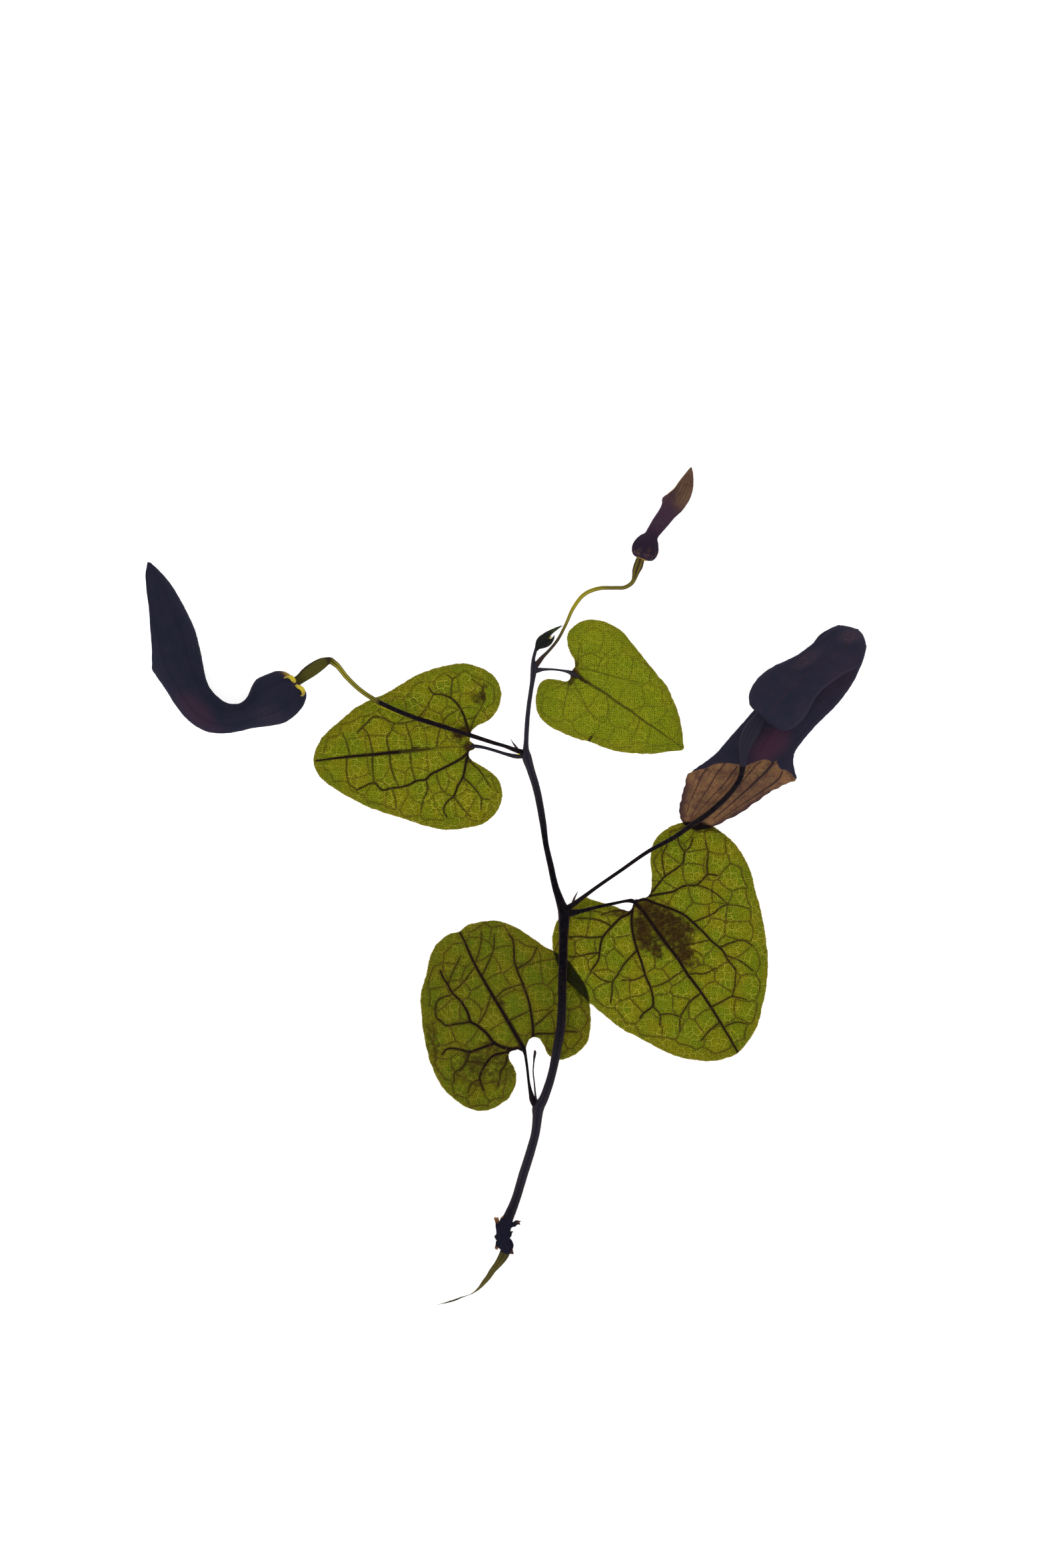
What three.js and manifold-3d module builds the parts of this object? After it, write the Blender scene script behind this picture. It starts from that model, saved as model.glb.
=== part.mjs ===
// An Andalusian dutchman's pipe: one cut, flowering shoot of a climbing plant that lies flat on a table.
// Millimetres, +Z up. The table is z = 0, +Y runs from the torn base to the youngest flower,
// and the origin is the middle of the shoot's footprint.

import * as THREE from "three";
import { mergeVertices } from "three/addons/utils/BufferGeometryUtils.js";
import { TessellateModifier } from "three/addons/modifiers/TessellateModifier.js";
import Module from "manifold-3d";

const GAP = 0.3;

const BLADE_THICKNESS = 0.6;
const BLADE_OUTLINE_POINTS = 64;
const BLADE_LONGEST_EDGE = 4.5;
const BLADE_SPLITS = 7;

const STALK_SIDES = 8;
const OVARY_SIDES = 12;
const STEPS_BETWEEN_POINTS = 2;

const PIPE_WALL = 0.7;
const THINNEST_WALL_SHARE = 0.4;
const PIPE_SIDES = 16;

const LEFT_PIPE_HEIGHT = 5;
const TOP_PIPE_HEIGHT = 2.45;

// The right flower is folded over itself. It is built along its own axis and then turned to this angle.
const RIGHT_PIPE_ANGLE = THREE.MathUtils.degToRad(51.7);
const RIGHT_BEND_RADIUS = 3.15;
const RIGHT_BEND_CENTRE = [72.85, -21.9, 5.35];
const RIGHT_POUCH_HEIGHT = 8.5;

const CLOSED = 180;

const { Manifold, Mesh: SolidMesh } = await loadSolids();

async function loadSolids() {
  const wasm = await Module();
  wasm.setup();
  return wasm;
}

// Turns the faces of a closed mesh outwards.
function facingOut(positions, indices) {
  const a = new THREE.Vector3();
  const b = new THREE.Vector3();
  const c = new THREE.Vector3();
  let volume = 0;
  for (let i = 0; i < indices.length; i += 3) {
    a.fromArray(positions, indices[i] * 3);
    b.fromArray(positions, indices[i + 1] * 3);
    c.fromArray(positions, indices[i + 2] * 3);
    volume += a.dot(b.cross(c));
  }
  if (volume < 0) indices.reverse();
  const geometry = new THREE.BufferGeometry();
  geometry.setAttribute("position", new THREE.Float32BufferAttribute(positions, 3));
  geometry.setIndex(indices);
  return mergeVertices(geometry);
}

function toSolid(geometry) {
  return new Manifold(
    new SolidMesh({
      numProp: 3,
      vertProperties: geometry.attributes.position.array,
      triVerts: new Uint32Array(geometry.index.array),
    }),
  );
}

function toGeometry(solid) {
  const mesh = solid.getMesh();
  const geometry = new THREE.BufferGeometry();
  geometry.setAttribute("position", new THREE.Float32BufferAttribute(mesh.vertProperties, 3));
  geometry.setIndex([...mesh.triVerts]);
  return geometry;
}

// A round stalk along a smooth line. Each point is x, y, z and the radius there.
// grow makes the stalk thicker and longer, for the space that a neighbour keeps to it.
function stalk(points, sides = STALK_SIDES, grow = 0) {
  const steps = (points.length - 1) * STEPS_BETWEEN_POINTS;
  const line = new THREE.CatmullRomCurve3(points.map(([x, y, z]) => new THREE.Vector3(x, y, z)));
  const girth = new THREE.CatmullRomCurve3(points.map(([, , , radius]) => new THREE.Vector3(radius, 0, 0)));
  const up = new THREE.Vector3(0, 0, 1);
  const middles = [];
  const positions = [];
  const indices = [];
  for (let step = 0; step <= steps; step++) {
    const along = step / steps;
    const heading = line.getTangent(along);
    const longer = step === 0 ? -grow : step === steps ? grow : 0;
    const centre = line.getPoint(along).addScaledVector(heading, longer);
    middles.push(centre);
    const aside = heading.clone().cross(up).normalize();
    const above = aside.clone().cross(heading);
    const radius = girth.getPoint(along).x + grow;
    for (let side = 0; side < sides; side++) {
      const turn = (side / sides) * Math.PI * 2;
      const point = centre.clone();
      point.addScaledVector(aside, radius * Math.cos(turn));
      point.addScaledVector(above, radius * Math.sin(turn));
      positions.push(...point.toArray());
      if (step === steps) continue;
      const here = step * sides + side;
      const next = step * sides + ((side + 1) % sides);
      indices.push(here, here + sides, next + sides, here, next + sides, next);
    }
  }
  for (const [step, order] of [[0, 1], [steps, -1]]) {
    const middle = positions.length / 3;
    positions.push(...middles[step].toArray());
    for (let side = 0; side < sides; side++) {
      const corners = [step * sides + side, step * sides + ((side + 1) % sides)];
      if (order < 0) corners.reverse();
      indices.push(middle, ...corners);
    }
  }
  return facingOut(positions, indices);
}

// How high a blade lies at a point: it is flat on the table, rises past the lines of its lifts,
// and passes over what lies under its humps.
function bladeHeight(blade, x, y) {
  let height = 0;
  for (const [angle, start, rate] of blade.lifts) {
    const turn = THREE.MathUtils.degToRad(angle);
    const beyond = (x - blade.middle[0]) * Math.cos(turn) + (y - blade.middle[1]) * Math.sin(turn) - start;
    height += rate * Math.max(0, beyond) ** 2;
  }
  for (const [humpX, humpY, radius, rise] of blade.humps ?? []) {
    const away = Math.hypot(x - humpX, y - humpY) / radius;
    height += rise * Math.max(0, 1 - away ** 2) ** 2;
  }
  return height;
}

// A leaf blade: its outline as a thin plate, cut into small triangles that follow the blade's height.
function leafBlade(blade) {
  const margin = new THREE.CatmullRomCurve3(
    blade.outline.map(([x, y]) => new THREE.Vector3(x, y, 0)),
    true,
  );
  const shape = new THREE.Shape(
    margin.getSpacedPoints(BLADE_OUTLINE_POINTS).slice(0, -1).map((p) => new THREE.Vector2(p.x, p.y)),
  );
  const thickness = blade.thickness ?? BLADE_THICKNESS;
  const plate = new THREE.ExtrudeGeometry(shape, { depth: thickness, bevelEnabled: false });
  const fine = new TessellateModifier(BLADE_LONGEST_EDGE, BLADE_SPLITS).modify(plate);
  fine.deleteAttribute("normal");
  fine.deleteAttribute("uv");
  const merged = mergeVertices(fine);
  const position = merged.attributes.position;
  for (let i = 0; i < position.count; i++) {
    const rise = bladeHeight(blade, position.getX(i), position.getY(i));
    position.setZ(i, position.getZ(i) + rise + (blade.clearance ?? 0));
  }
  return merged;
}

// A ring of a pipe seen from the side: the limb's back is at `back`, the mouth side is at `front`.
// half is half of the ring's height, and open is how far round from the back the wall reaches.
function sideRing([back, front, half, open = CLOSED], height) {
  const reach = THREE.MathUtils.degToRad(open);
  const across = new THREE.Vector3(back[0] - front[0], back[1] - front[1], 0);
  const limb = across.multiplyScalar(1 / (1 - Math.cos(reach)));
  return {
    centre: new THREE.Vector3(back[0], back[1], height).sub(limb),
    limb,
    side: new THREE.Vector3(0, 0, half),
    reach,
  };
}

// A ring of the folded pipe seen from above, between its two edges. fold is how far the pipe has
// turned over: 0 in the upper run, 180 in the lower run, whose upper wall becomes the limb.
function foldRing([left, right, height, half, fold = CLOSED, open = CLOSED]) {
  const reach = THREE.MathUtils.degToRad(open);
  const turn = THREE.MathUtils.degToRad(fold);
  const side = new THREE.Vector3((right[0] - left[0]) / 2, (right[1] - left[1]) / 2, 0);
  return {
    centre: new THREE.Vector3((left[0] + right[0]) / 2, (left[1] + right[1]) / 2, height),
    limb: new THREE.Vector3(-Math.sin(turn), 0, -Math.cos(turn)).multiplyScalar(half),
    side: side.multiplyScalar(1 / Math.sin(Math.min(reach, Math.PI / 2))),
    reach,
  };
}

// A flower's pipe: a skin over the rings from the base to the tip of the limb. Past the ring where
// the mouth opens, the rings are open. The bore runs from the mouth back to the throat ring.
function pipe(rings, throat) {
  const last = rings.length - 1;
  const width = PIPE_SIDES + 1;
  const positions = [];
  const indices = [];
  const thinner = (length) => Math.max(1 - PIPE_WALL / length, THINNEST_WALL_SHARE);
  const ringPoint = (ring, column, inside) => {
    const turn = ring.reach * ((2 * column) / PIPE_SIDES - 1);
    const limb = ring.limb.clone().multiplyScalar(inside ? thinner(ring.limb.length()) : 1);
    const side = ring.side.clone().multiplyScalar(inside ? thinner(ring.side.length()) : 1);
    return ring.centre.clone().addScaledVector(limb, Math.cos(turn)).addScaledVector(side, Math.sin(turn));
  };
  const quad = (a, b, c, d) => indices.push(a, b, c, a, c, d);
  const outer = (ring, column) => ring * width + column;
  const innerStart = rings.length * width;
  const inner = (ring, column) => innerStart + (ring - throat) * width + column;

  for (const ring of rings) {
    for (let column = 0; column < width; column++) positions.push(...ringPoint(ring, column, false).toArray());
  }
  for (const ring of rings.slice(throat)) {
    for (let column = 0; column < width; column++) positions.push(...ringPoint(ring, column, true).toArray());
  }
  for (let ring = 0; ring < last; ring++) {
    for (let column = 0; column < PIPE_SIDES; column++) {
      quad(outer(ring, column), outer(ring + 1, column), outer(ring + 1, column + 1), outer(ring, column + 1));
      if (ring < throat) continue;
      quad(inner(ring, column), inner(ring, column + 1), inner(ring + 1, column + 1), inner(ring + 1, column));
    }
  }
  const mouth = rings.findLastIndex((ring) => ring.reach === Math.PI);
  for (let ring = mouth; ring < last; ring++) {
    quad(outer(ring, 0), inner(ring, 0), inner(ring + 1, 0), outer(ring + 1, 0));
    quad(outer(ring, PIPE_SIDES), outer(ring + 1, PIPE_SIDES), inner(ring + 1, PIPE_SIDES), inner(ring, PIPE_SIDES));
  }
  for (let column = 0; column < PIPE_SIDES; column++) {
    quad(outer(last, column), inner(last, column), inner(last, column + 1), outer(last, column + 1));
  }
  const base = positions.length / 3;
  positions.push(...rings[0].centre.toArray(), ...rings[throat].centre.toArray());
  for (let column = 0; column < PIPE_SIDES; column++) {
    indices.push(base, outer(0, column), outer(0, column + 1));
    indices.push(base + 1, inner(throat, column + 1), inner(throat, column));
  }
  return facingOut(positions, indices);
}

function material(color, roughness) {
  return new THREE.MeshStandardMaterial({ color, roughness, metalness: 0 });
}

const leafGreen = material(0x6f7d1e, 0.6);
const stemBark = material(0x1e1620, 0.5);
const flowerStalkSkin = material(0x4a3d22, 0.5);
const ovarySkin = material(0x55521e, 0.5);
const pipeSkin = material(0x2a1d2c, 0.55);
const youngLeafSkin = material(0x26251c, 0.6);
const dryBark = material(0x3a281b, 0.9);
const witheredSkin = material(0x544c26, 0.8);

const shoot = new THREE.Group();

function add(name, geometry, skin) {
  geometry.computeVertexNormals();
  const mesh = new THREE.Mesh(geometry, skin);
  mesh.name = name;
  shoot.add(mesh);
  return mesh;
}

// Main stem: it zigzags from joint to joint, thick at the joints, and passes over two leaf lobes.
const stemLine = [
  [-0.15, -68.2, 1.2, 0.8], [-0.3, -66.5, 1.45, 1.25], [-0.2, -64.5, 1.5, 1.3], [0.35, -62.8, 1.35, 1.12],
  [0.95, -61.4, 1.2, 0.98], [1.95, -58.9, 1.1, 0.87], [3.5, -53.9, 1.1, 0.84], [4.85, -49.6, 1.15, 0.82],
  [5.7, -46.4, 1.2, 0.8], [6.1, -43.2, 1.35, 0.9], [6.25, -41.6, 1.5, 1.08], [7.15, -40.1, 1.7, 0.85],
  [8.3, -37, 2.05, 0.78], [8.95, -34.6, 2.4, 0.76], [9.85, -30, 2.9, 0.84], [10.5, -26, 3.1, 0.84],
  [10.7, -22, 3.25, 0.8], [10.75, -18, 3.3, 0.8], [10.87, -14, 3.3, 0.82], [10.95, -10, 3.2, 0.83],
  [11.05, -6.7, 3, 0.98], [11.05, -4.9, 2.9, 1.08], [10.4, -3, 2.7, 0.82], [9.42, 0, 2.4, 0.63],
  [8.53, 4, 2.1, 0.57], [7.65, 8, 1.9, 0.53], [7.1, 12, 1.75, 0.62], [5.9, 18.3, 1.6, 0.68],
  [4.75, 22, 1.55, 0.74], [4.1, 24.2, 1.55, 0.86], [3.95, 25.5, 1.5, 0.58], [3.97, 26.8, 1.45, 0.45],
  [4.13, 30, 1.4, 0.43], [4.5, 34, 1.3, 0.4], [5.1, 38, 1.2, 0.42], [5.35, 40, 1.2, 0.56],
  [5.45, 41.1, 1.2, 0.62], [5.33, 42.3, 1.1, 0.34], [5.55, 43.4, 1.05, 0.3], [5.75, 44, 1, 0.3],
];
add("main_stem", stalk(stemLine), stemBark);

// The space that a neighbour of a stalk keeps free: the stalk with the gap round it.
function roomOf(points, sides = STALK_SIDES) {
  return toSolid(stalk(points, sides, GAP));
}
const stemRoom = roomOf(stemLine);

// A stalk that grows from others: it starts inside them and is cut back to the gap from each.
function branch(points, rooms = [stemRoom], sides = STALK_SIDES) {
  return toGeometry(rooms.reduce((rest, room) => rest.subtract(room), toSolid(stalk(points, sides))));
}

// Leaf blades: middle is on the flat part, and a lift is [direction in degrees, start, mm per mm squared].
const lowerLeaf = {
  middle: [0, -24],
  lifts: [[175, 10, 0.035], [117, 11, 0.03], [265, 12, 0.03]],
  outline: [
    [-8.6, -8.6], [-7, -7.3], [-4.5, -6.7], [-1.4, -6.6], [1.25, -7.4], [4.4, -9.2], [7, -11.1], [9.1, -12.2],
    [11.6, -13.7], [13.6, -16.3], [15.3, -19.1], [16, -23], [15.9, -27.7], [15, -30], [12.5, -32],
    [10.2, -32.6], [8.2, -31.7], [7.2, -29.9], [6.4, -28.7], [5.5, -28.35], [4.5, -28.9], [4.05, -30],
    [3.9, -30.8], [3.3, -31], [2.15, -30.75], [0.95, -31.2], [0.8, -32.5], [1.6, -33.8], [2.2, -35.7],
    [1.7, -38.2], [0, -40.4], [-3.05, -42], [-6.15, -41.9], [-9.7, -39.8], [-12.1, -37.2], [-13.9, -33.3],
    [-15.1, -28.5], [-15.7, -23.5], [-15.7, -20], [-14.7, -16.5], [-14, -13.2], [-12.6, -10.7], [-10.4, -9],
  ],
};

const rightLeaf = {
  middle: [30, -10],
  lifts: [[5, 13, 0.04], [-72, 17, 0.03]],
  humps: [[12.3, -17, 14, 1.4]],
  outline: [
    [24.4, -2.6], [25.3, -2.4], [26.6, -2.1], [27.3, -1.2], [27.5, 1.8], [27.3, 5.2], [27.9, 8.1],
    [29.8, 10.3], [32.6, 11.7], [35, 12.1], [37.5, 11.8], [40.2, 10.4], [42.8, 8.2], [44.9, 5.2],
    [46.2, 2.4], [46.8, -0.4], [47.9, -4.4], [48.8, -9.2], [49.3, -14.6], [48.9, -19.4], [48.1, -23.2],
    [47.4, -25.9], [46, -28.6], [44.4, -30.6], [43.2, -31.7], [41, -32.4], [38.4, -32.8], [33.9, -32.4],
    [30, -31.1], [26.1, -29], [21.9, -26.8], [18.8, -24.4], [15.7, -21.7], [13, -19.1], [11.7, -17.9],
    [10.4, -15.7], [9.2, -12.6], [8.85, -10.2], [9.3, -7.6], [10.4, -5.6], [12, -4.1], [13.4, -3.1],
    [15.1, -2.2], [17.2, -2.9], [20.1, -3.7], [22.2, -4.5], [23.3, -4.7], [23.9, -3.9], [24.1, -3.2],
  ],
};

const leftLeaf = {
  middle: [-15, 26],
  lifts: [[185, 13, 0.025], [70, 12, 0.03], [-60, 12, 0.03]],
  outline: [
    [-35.9, 23.4], [-35.6, 24.9], [-34.7, 27.1], [-33.1, 29.1], [-30.7, 31.1], [-28, 33.4], [-25.3, 34.8],
    [-22.4, 36.1], [-19.2, 37.95], [-16, 39.8], [-12.3, 41], [-8, 41.7], [-4.5, 40.9], [-1.8, 39],
    [-0.67, 36.1], [-1.3, 33.2], [-3.1, 31], [-5.4, 29.9], [-6.4, 28.7], [-6.5, 27.2], [-5.8, 26.5],
    [-5.7, 25.8], [-6.7, 25.2], [-6.6, 24], [-5.6, 23.2], [-2.9, 21.5], [-1.2, 19.9], [-0.5, 17.2],
    [-1.3, 14.3], [-4, 11.7], [-7.7, 10.8], [-11.5, 10.5], [-16, 11.6], [-20, 12.9], [-23.7, 14.05],
    [-26.7, 15.3], [-30.9, 17.6], [-33.8, 19.6], [-35.3, 21.4],
  ],
};

const upperLeaf = {
  middle: [20, 36],
  lifts: [[-37, 9, 0.03], [107, 9, 0.03], [197, 9, 0.03]],
  outline: [
    [12.6, 40.3], [13.15, 41.2], [13.1, 42.2], [12.3, 43.6], [11.7, 45.6], [11.8, 47.2], [13, 48.8],
    [15.2, 49.85], [17.4, 49.8], [19.8, 49.05], [21.8, 47.9], [23.6, 45.8], [26, 42.8], [28.2, 40],
    [30.2, 37.6], [31.6, 34.8], [32.7, 31.8], [33.2, 28.8], [33.35, 26.9], [32.7, 25.8], [31, 25.3],
    [28.4, 24.8], [25.4, 24.8], [22, 25.1], [19, 25.8], [16, 27], [13.8, 27.5], [11.2, 28.5], [8.4, 29.9],
    [6.6, 31.6], [5.85, 33.7], [5.9, 36], [6.5, 37.8], [7.8, 38.74], [9.8, 38.6], [11.6, 38.3],
    [12.25, 38.9], [12.3, 39.7],
  ],
};

add("lower_leaf_blade", leafBlade(lowerLeaf), leafGreen);
add("right_leaf_blade", leafBlade(rightLeaf), leafGreen);
add("left_leaf_blade", leafBlade(leftLeaf), leafGreen);
add("upper_leaf_blade", leafBlade(upperLeaf), leafGreen);

// Leaf stalks, from inside the stem's joint to just before the blade.
const lowerLeafStalkLine = [
  [5.9, -41.6, 1.5, 0.55], [5.2, -40, 1.5, 0.6], [4.9, -39, 1.35, 0.42], [4.5, -37, 1, 0.26],
  [4.28, -35, 0.75, 0.24], [4.03, -33, 0.55, 0.26], [3.75, -31.25, 0.42, 0.28],
];
const rightLeafStalkLine = [
  [11.5, -5.1, 2.9, 0.6], [13, -5, 2.6, 0.5], [14, -4.75, 2.4, 0.4], [16, -4.28, 1.9, 0.33],
  [18, -3.8, 1.5, 0.3], [20.4, -3.3, 0.95, 0.3], [22.7, -2.85, 0.6, 0.3], [23.7, -2.8, 0.45, 0.3],
];
const leftLeafStalkLine = [
  [3.6, 24.4, 1.5, 0.45], [2, 24.3, 1.35, 0.4], [0, 24.77, 1.1, 0.3], [-2, 25.4, 0.8, 0.3],
  [-4, 25.95, 0.5, 0.3], [-5.5, 26.18, 0.42, 0.3],
];
const upperLeafStalkLine = [
  [5.8, 40.4, 1.2, 0.35], [7, 40.55, 1.1, 0.27], [9, 40.58, 0.8, 0.22], [11, 40.33, 0.5, 0.23],
  [12.2, 40.02, 0.4, 0.26],
];
add("lower_leaf_stalk", branch(lowerLeafStalkLine), stemBark);
add("right_leaf_stalk", branch(rightLeafStalkLine), stemBark);
add("left_leaf_stalk", branch(leftLeafStalkLine), stemBark);
add("upper_leaf_stalk", branch(upperLeafStalkLine), stemBark);

// The young leaf at the tip of the shoot, still folded, with one lobe that stands off.
const youngLeaf = {
  middle: [6, 45],
  lifts: [[40, 2.5, 0.04]],
  thickness: 1.1,
  clearance: 0.4,
  outline: [
    [5.5, 44.45], [5.45, 45.2], [5.6, 46], [6.6, 46.9], [8, 47.8], [9.2, 48.45], [10.6, 48.75], [9.8, 48.15],
    [8.9, 47.4], [8.55, 46.9], [9.05, 46.95], [9.2, 46.5], [8.6, 45.6], [7.8, 45], [7.1, 44.6], [6.3, 44.4],
  ],
};
add("young_leaf", leafBlade(youngLeaf), youngLeafSkin);

// Left flower: it lies on its side, with the pouch at the ovary, a bend like a pipe's, and an open limb.
const leftFlowerStalkLine = [
  [3.5, 25, 1.55, 0.45], [2, 25.45, 1.65, 0.42], [0, 26.2, 1.7, 0.33], [-2, 26.78, 1.7, 0.35],
  [-6.7, 28.3, 1.8, 0.4], [-12, 30, 2, 0.42], [-17.3, 31.7, 2.3, 0.42], [-22.7, 34, 2.8, 0.42],
  [-26.7, 36.4, 3.4, 0.42], [-29.6, 39.1, 4.1, 0.44], [-31.3, 41.2, 4.7, 0.5], [-32.5, 42.15, 5, 0.62],
];
const leftOvaryLine = [
  [-32.85, 42.3, 5, 0.62], [-34.1, 41.7, 5, 1.02], [-35.6, 40.75, 5, 1.2], [-37.1, 39.7, 5, 1.12],
  [-38.2, 38.8, 5, 0.92], [-39.1, 38.2, 5, 0.85],
];
const leftPipeRings = [
  [[-39.6, 38.9], [-38, 37.4], 1], [[-40.6, 39.9], [-37.15, 36.2], 2.6], [[-42.3, 40.2], [-37.5, 34.3], 3.7],
  [[-44.4, 39.5], [-39, 32.3], 4.5], [[-46.4, 38.5], [-41.5, 30.6], 4.7], [[-47.3, 37], [-44.5, 30], 4.3],
  [[-48.1, 35.3], [-47.2, 29.9], 3.2], [[-49.5, 34.1], [-49.6, 29.2], 2.6], [[-51.8, 34.2], [-52.6, 28.7], 2.5],
  [[-53.9, 35.4], [-56, 29.1], 2.6], [[-55.3, 37.1], [-59, 31], 2.9], [[-56.1, 39.1], [-61.4, 33.8], 3.3],
  [[-56.5, 41.2], [-63.4, 37], 3.8], [[-56.9, 43.2], [-65.2, 39.4], 4.3], [[-57.3, 44.9], [-66.05, 40.8], 4.7],
  [[-57.8, 47], [-65.9, 44], 4.9, 150], [[-58.7, 49.4], [-66.15, 48.2], 4.8, 135],
  [[-60.1, 52.2], [-66.5, 52.6], 4.3, 125], [[-61.8, 55.2], [-66.9, 55.9], 3.5, 118],
  [[-63.6, 57.8], [-67.1, 58.3], 2.4, 112], [[-65.4, 59.7], [-66.9, 59.9], 1.2, 105],
  [[-66.3, 60.5], [-66.8, 60.6], 0.5, 100],
].map((ring) => sideRing(ring, LEFT_PIPE_HEIGHT));
const LEFT_THROAT = 10;

// Top flower: a young one of the same form.
const topFlowerStalkLine = [
  [5.8, 41.4, 1.2, 0.4], [6.5, 42.25, 1.2, 0.4], [7.15, 43, 1.15, 0.33], [8.15, 44, 1.1, 0.27],
  [9.8, 46, 1, 0.26], [11.4, 49, 1, 0.27], [12.75, 52, 1, 0.36], [14.8, 54.6, 1.1, 0.4],
  [17.5, 55.75, 1.3, 0.4], [20.5, 55.87, 1.6, 0.38], [22.4, 55.95, 1.9, 0.4], [23.7, 56.7, 2.2, 0.42],
  [24.1, 57.35, 2.35, 0.42],
];
const topOvaryLine = [
  [24.3, 57.65, 2.4, 0.42], [24.55, 58.6, 2.45, 0.66], [24.95, 59.8, 2.45, 0.88], [25.3, 61, 2.45, 0.8],
  [25.5, 61.7, 2.45, 0.62],
];
const topPipeRings = [
  [[26.2, 60.9], [24.9, 61.35], 0.6], [[27.6, 60.95], [24.1, 62.1], 1.6], [[28.6, 62.3], [23.85, 63.3], 2.3],
  [[28.65, 63.9], [24.3, 64.5], 2.2], [[28.5, 64.9], [25.3, 65.6], 1.7], [[28.7, 65.4], [26.2, 66.1], 1.3],
  [[29.4, 66.2], [26.8, 67], 1.25], [[30.7, 67.7], [27.7, 68.6], 1.3], [[31.9, 69.1], [28.7, 70.1], 1.5],
  [[33.2, 70.3], [29.4, 71.5], 1.75], [[34, 71.4], [29.55, 72.7], 1.95], [[34.7, 72.6], [30.5, 73.45], 2, 150],
  [[35.15, 74.1], [31.6, 74.4], 1.8, 140], [[35.3, 75.6], [32.5, 75.6], 1.45, 130],
  [[35.25, 77], [33.4, 76.8], 1, 120], [[35.1, 77.9], [34.3, 77.9], 0.7, 110],
  [[34.95, 78.45], [34.7, 78.35], 0.5, 100],
].map((ring) => sideRing(ring, TOP_PIPE_HEIGHT));
const TOP_THROAT = 8;

// Right flower: the pouch lies on top of the wide lower run, whose upper wall goes on as the limb.
const rightFlowerStalkLine = [
  [11.5, -4.3, 2.9, 0.55], [13, -3.3, 2.95, 0.45], [14.5, -2.2, 2.9, 0.38], [17.5, 0, 2.8, 0.35],
  [21.7, 2.9, 2.6, 0.35], [26.9, 6.5, 2.4, 0.38], [31.5, 9, 2.5, 0.42], [34.5, 11.1, 3.1, 0.46],
  [38.3, 13.8, 4.5, 0.5], [42, 17.3, 6, 0.5], [43.9, 20.1, 7, 0.52], [44.45, 22.3, 7.6, 0.56],
];
const rightOvaryLine = [
  [44.5, 22.75, 7.7, 0.56], [44.6, 24.8, 8.1, 0.88], [45.1, 27, 8.4, 1.35], [46.2, 29.3, 8.5, 1.5],
  [47.4, 31.1, 8.5, 1.2], [48.1, 32.1, 8.5, 1],
];

function bendRing(fold, halfWidth, half) {
  const turn = THREE.MathUtils.degToRad(fold);
  const [x, y, z] = RIGHT_BEND_CENTRE;
  const reachX = x + RIGHT_BEND_RADIUS * Math.sin(turn);
  const height = z + RIGHT_BEND_RADIUS * Math.cos(turn);
  return [[reachX, y + halfWidth], [reachX, y - halfWidth], height, half, fold];
}

const rightPipeRings = [
  [[54.6, -17], [54.3, -19.6], RIGHT_POUCH_HEIGHT, 1, 0], [[55, -14.8], [54.8, -22.4], RIGHT_POUCH_HEIGHT, 3, 0],
  [[56.8, -13.4], [56.6, -23.9], RIGHT_POUCH_HEIGHT, 4.2, 0], [[60, -13], [59.8, -24.3], RIGHT_POUCH_HEIGHT, 4.4, 0],
  [[63, -13.8], [63, -23.8], RIGHT_POUCH_HEIGHT, 4.1, 0], [[65.6, -15.6], [65.6, -23.8], RIGHT_POUCH_HEIGHT, 3.3, 0],
  [[68, -17.8], [68, -24.4], RIGHT_POUCH_HEIGHT, 2.3, 0], [[70.6, -18.8], [70.6, -25], RIGHT_POUCH_HEIGHT, 1.9, 0],
  bendRing(10, 3.2, 1.8), bendRing(45, 3.4, 1.8), bendRing(90, 3.6, 1.8), bendRing(135, 3.8, 1.8),
  bendRing(175, 4.2, 1.8),
  [[70, -17.1], [70, -27.6], 2.2, 1.8], [[65, -16.6], [65, -27.7], 2.2, 1.85], [[59, -16.3], [59, -27], 2.2, 1.9],
  [[54.2, -16.2], [53.8, -27], 2.2, 1.95], [[50.6, -16], [52.4, -27.5], 2.2, 2], [[47, -15.8], [51.3, -28.3], 2.2, 2.05],
  [[43.6, -15.6], [50.4, -29.4], 2.2, 2.05], [[39.5, -14.5], [49.3, -30.4], 2.1, 2],
  [[37.6, -14.1], [47.2, -29.2], 1.8, 2, CLOSED, 130], [[35.6, -15.1], [44.6, -28.2], 1.4, 2, CLOSED, 90],
  [[33.8, -15.8], [41.8, -27.3], 1.1, 2, CLOSED, 80], [[32.3, -16.4], [38.9, -26.4], 1, 1.8, CLOSED, 75],
  [[31, -17.3], [36, -25.2], 1, 1.6, CLOSED, 72], [[30.3, -18.4], [33.6, -24.2], 1, 1.4, CLOSED, 70],
  [[29.95, -19.4], [31.6, -22.9], 1, 1.1, CLOSED, 70], [[29.95, -20.2], [30.5, -21.9], 1, 0.9, CLOSED, 70],
].map(foldRing);
const RIGHT_THROAT = 16;

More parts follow.
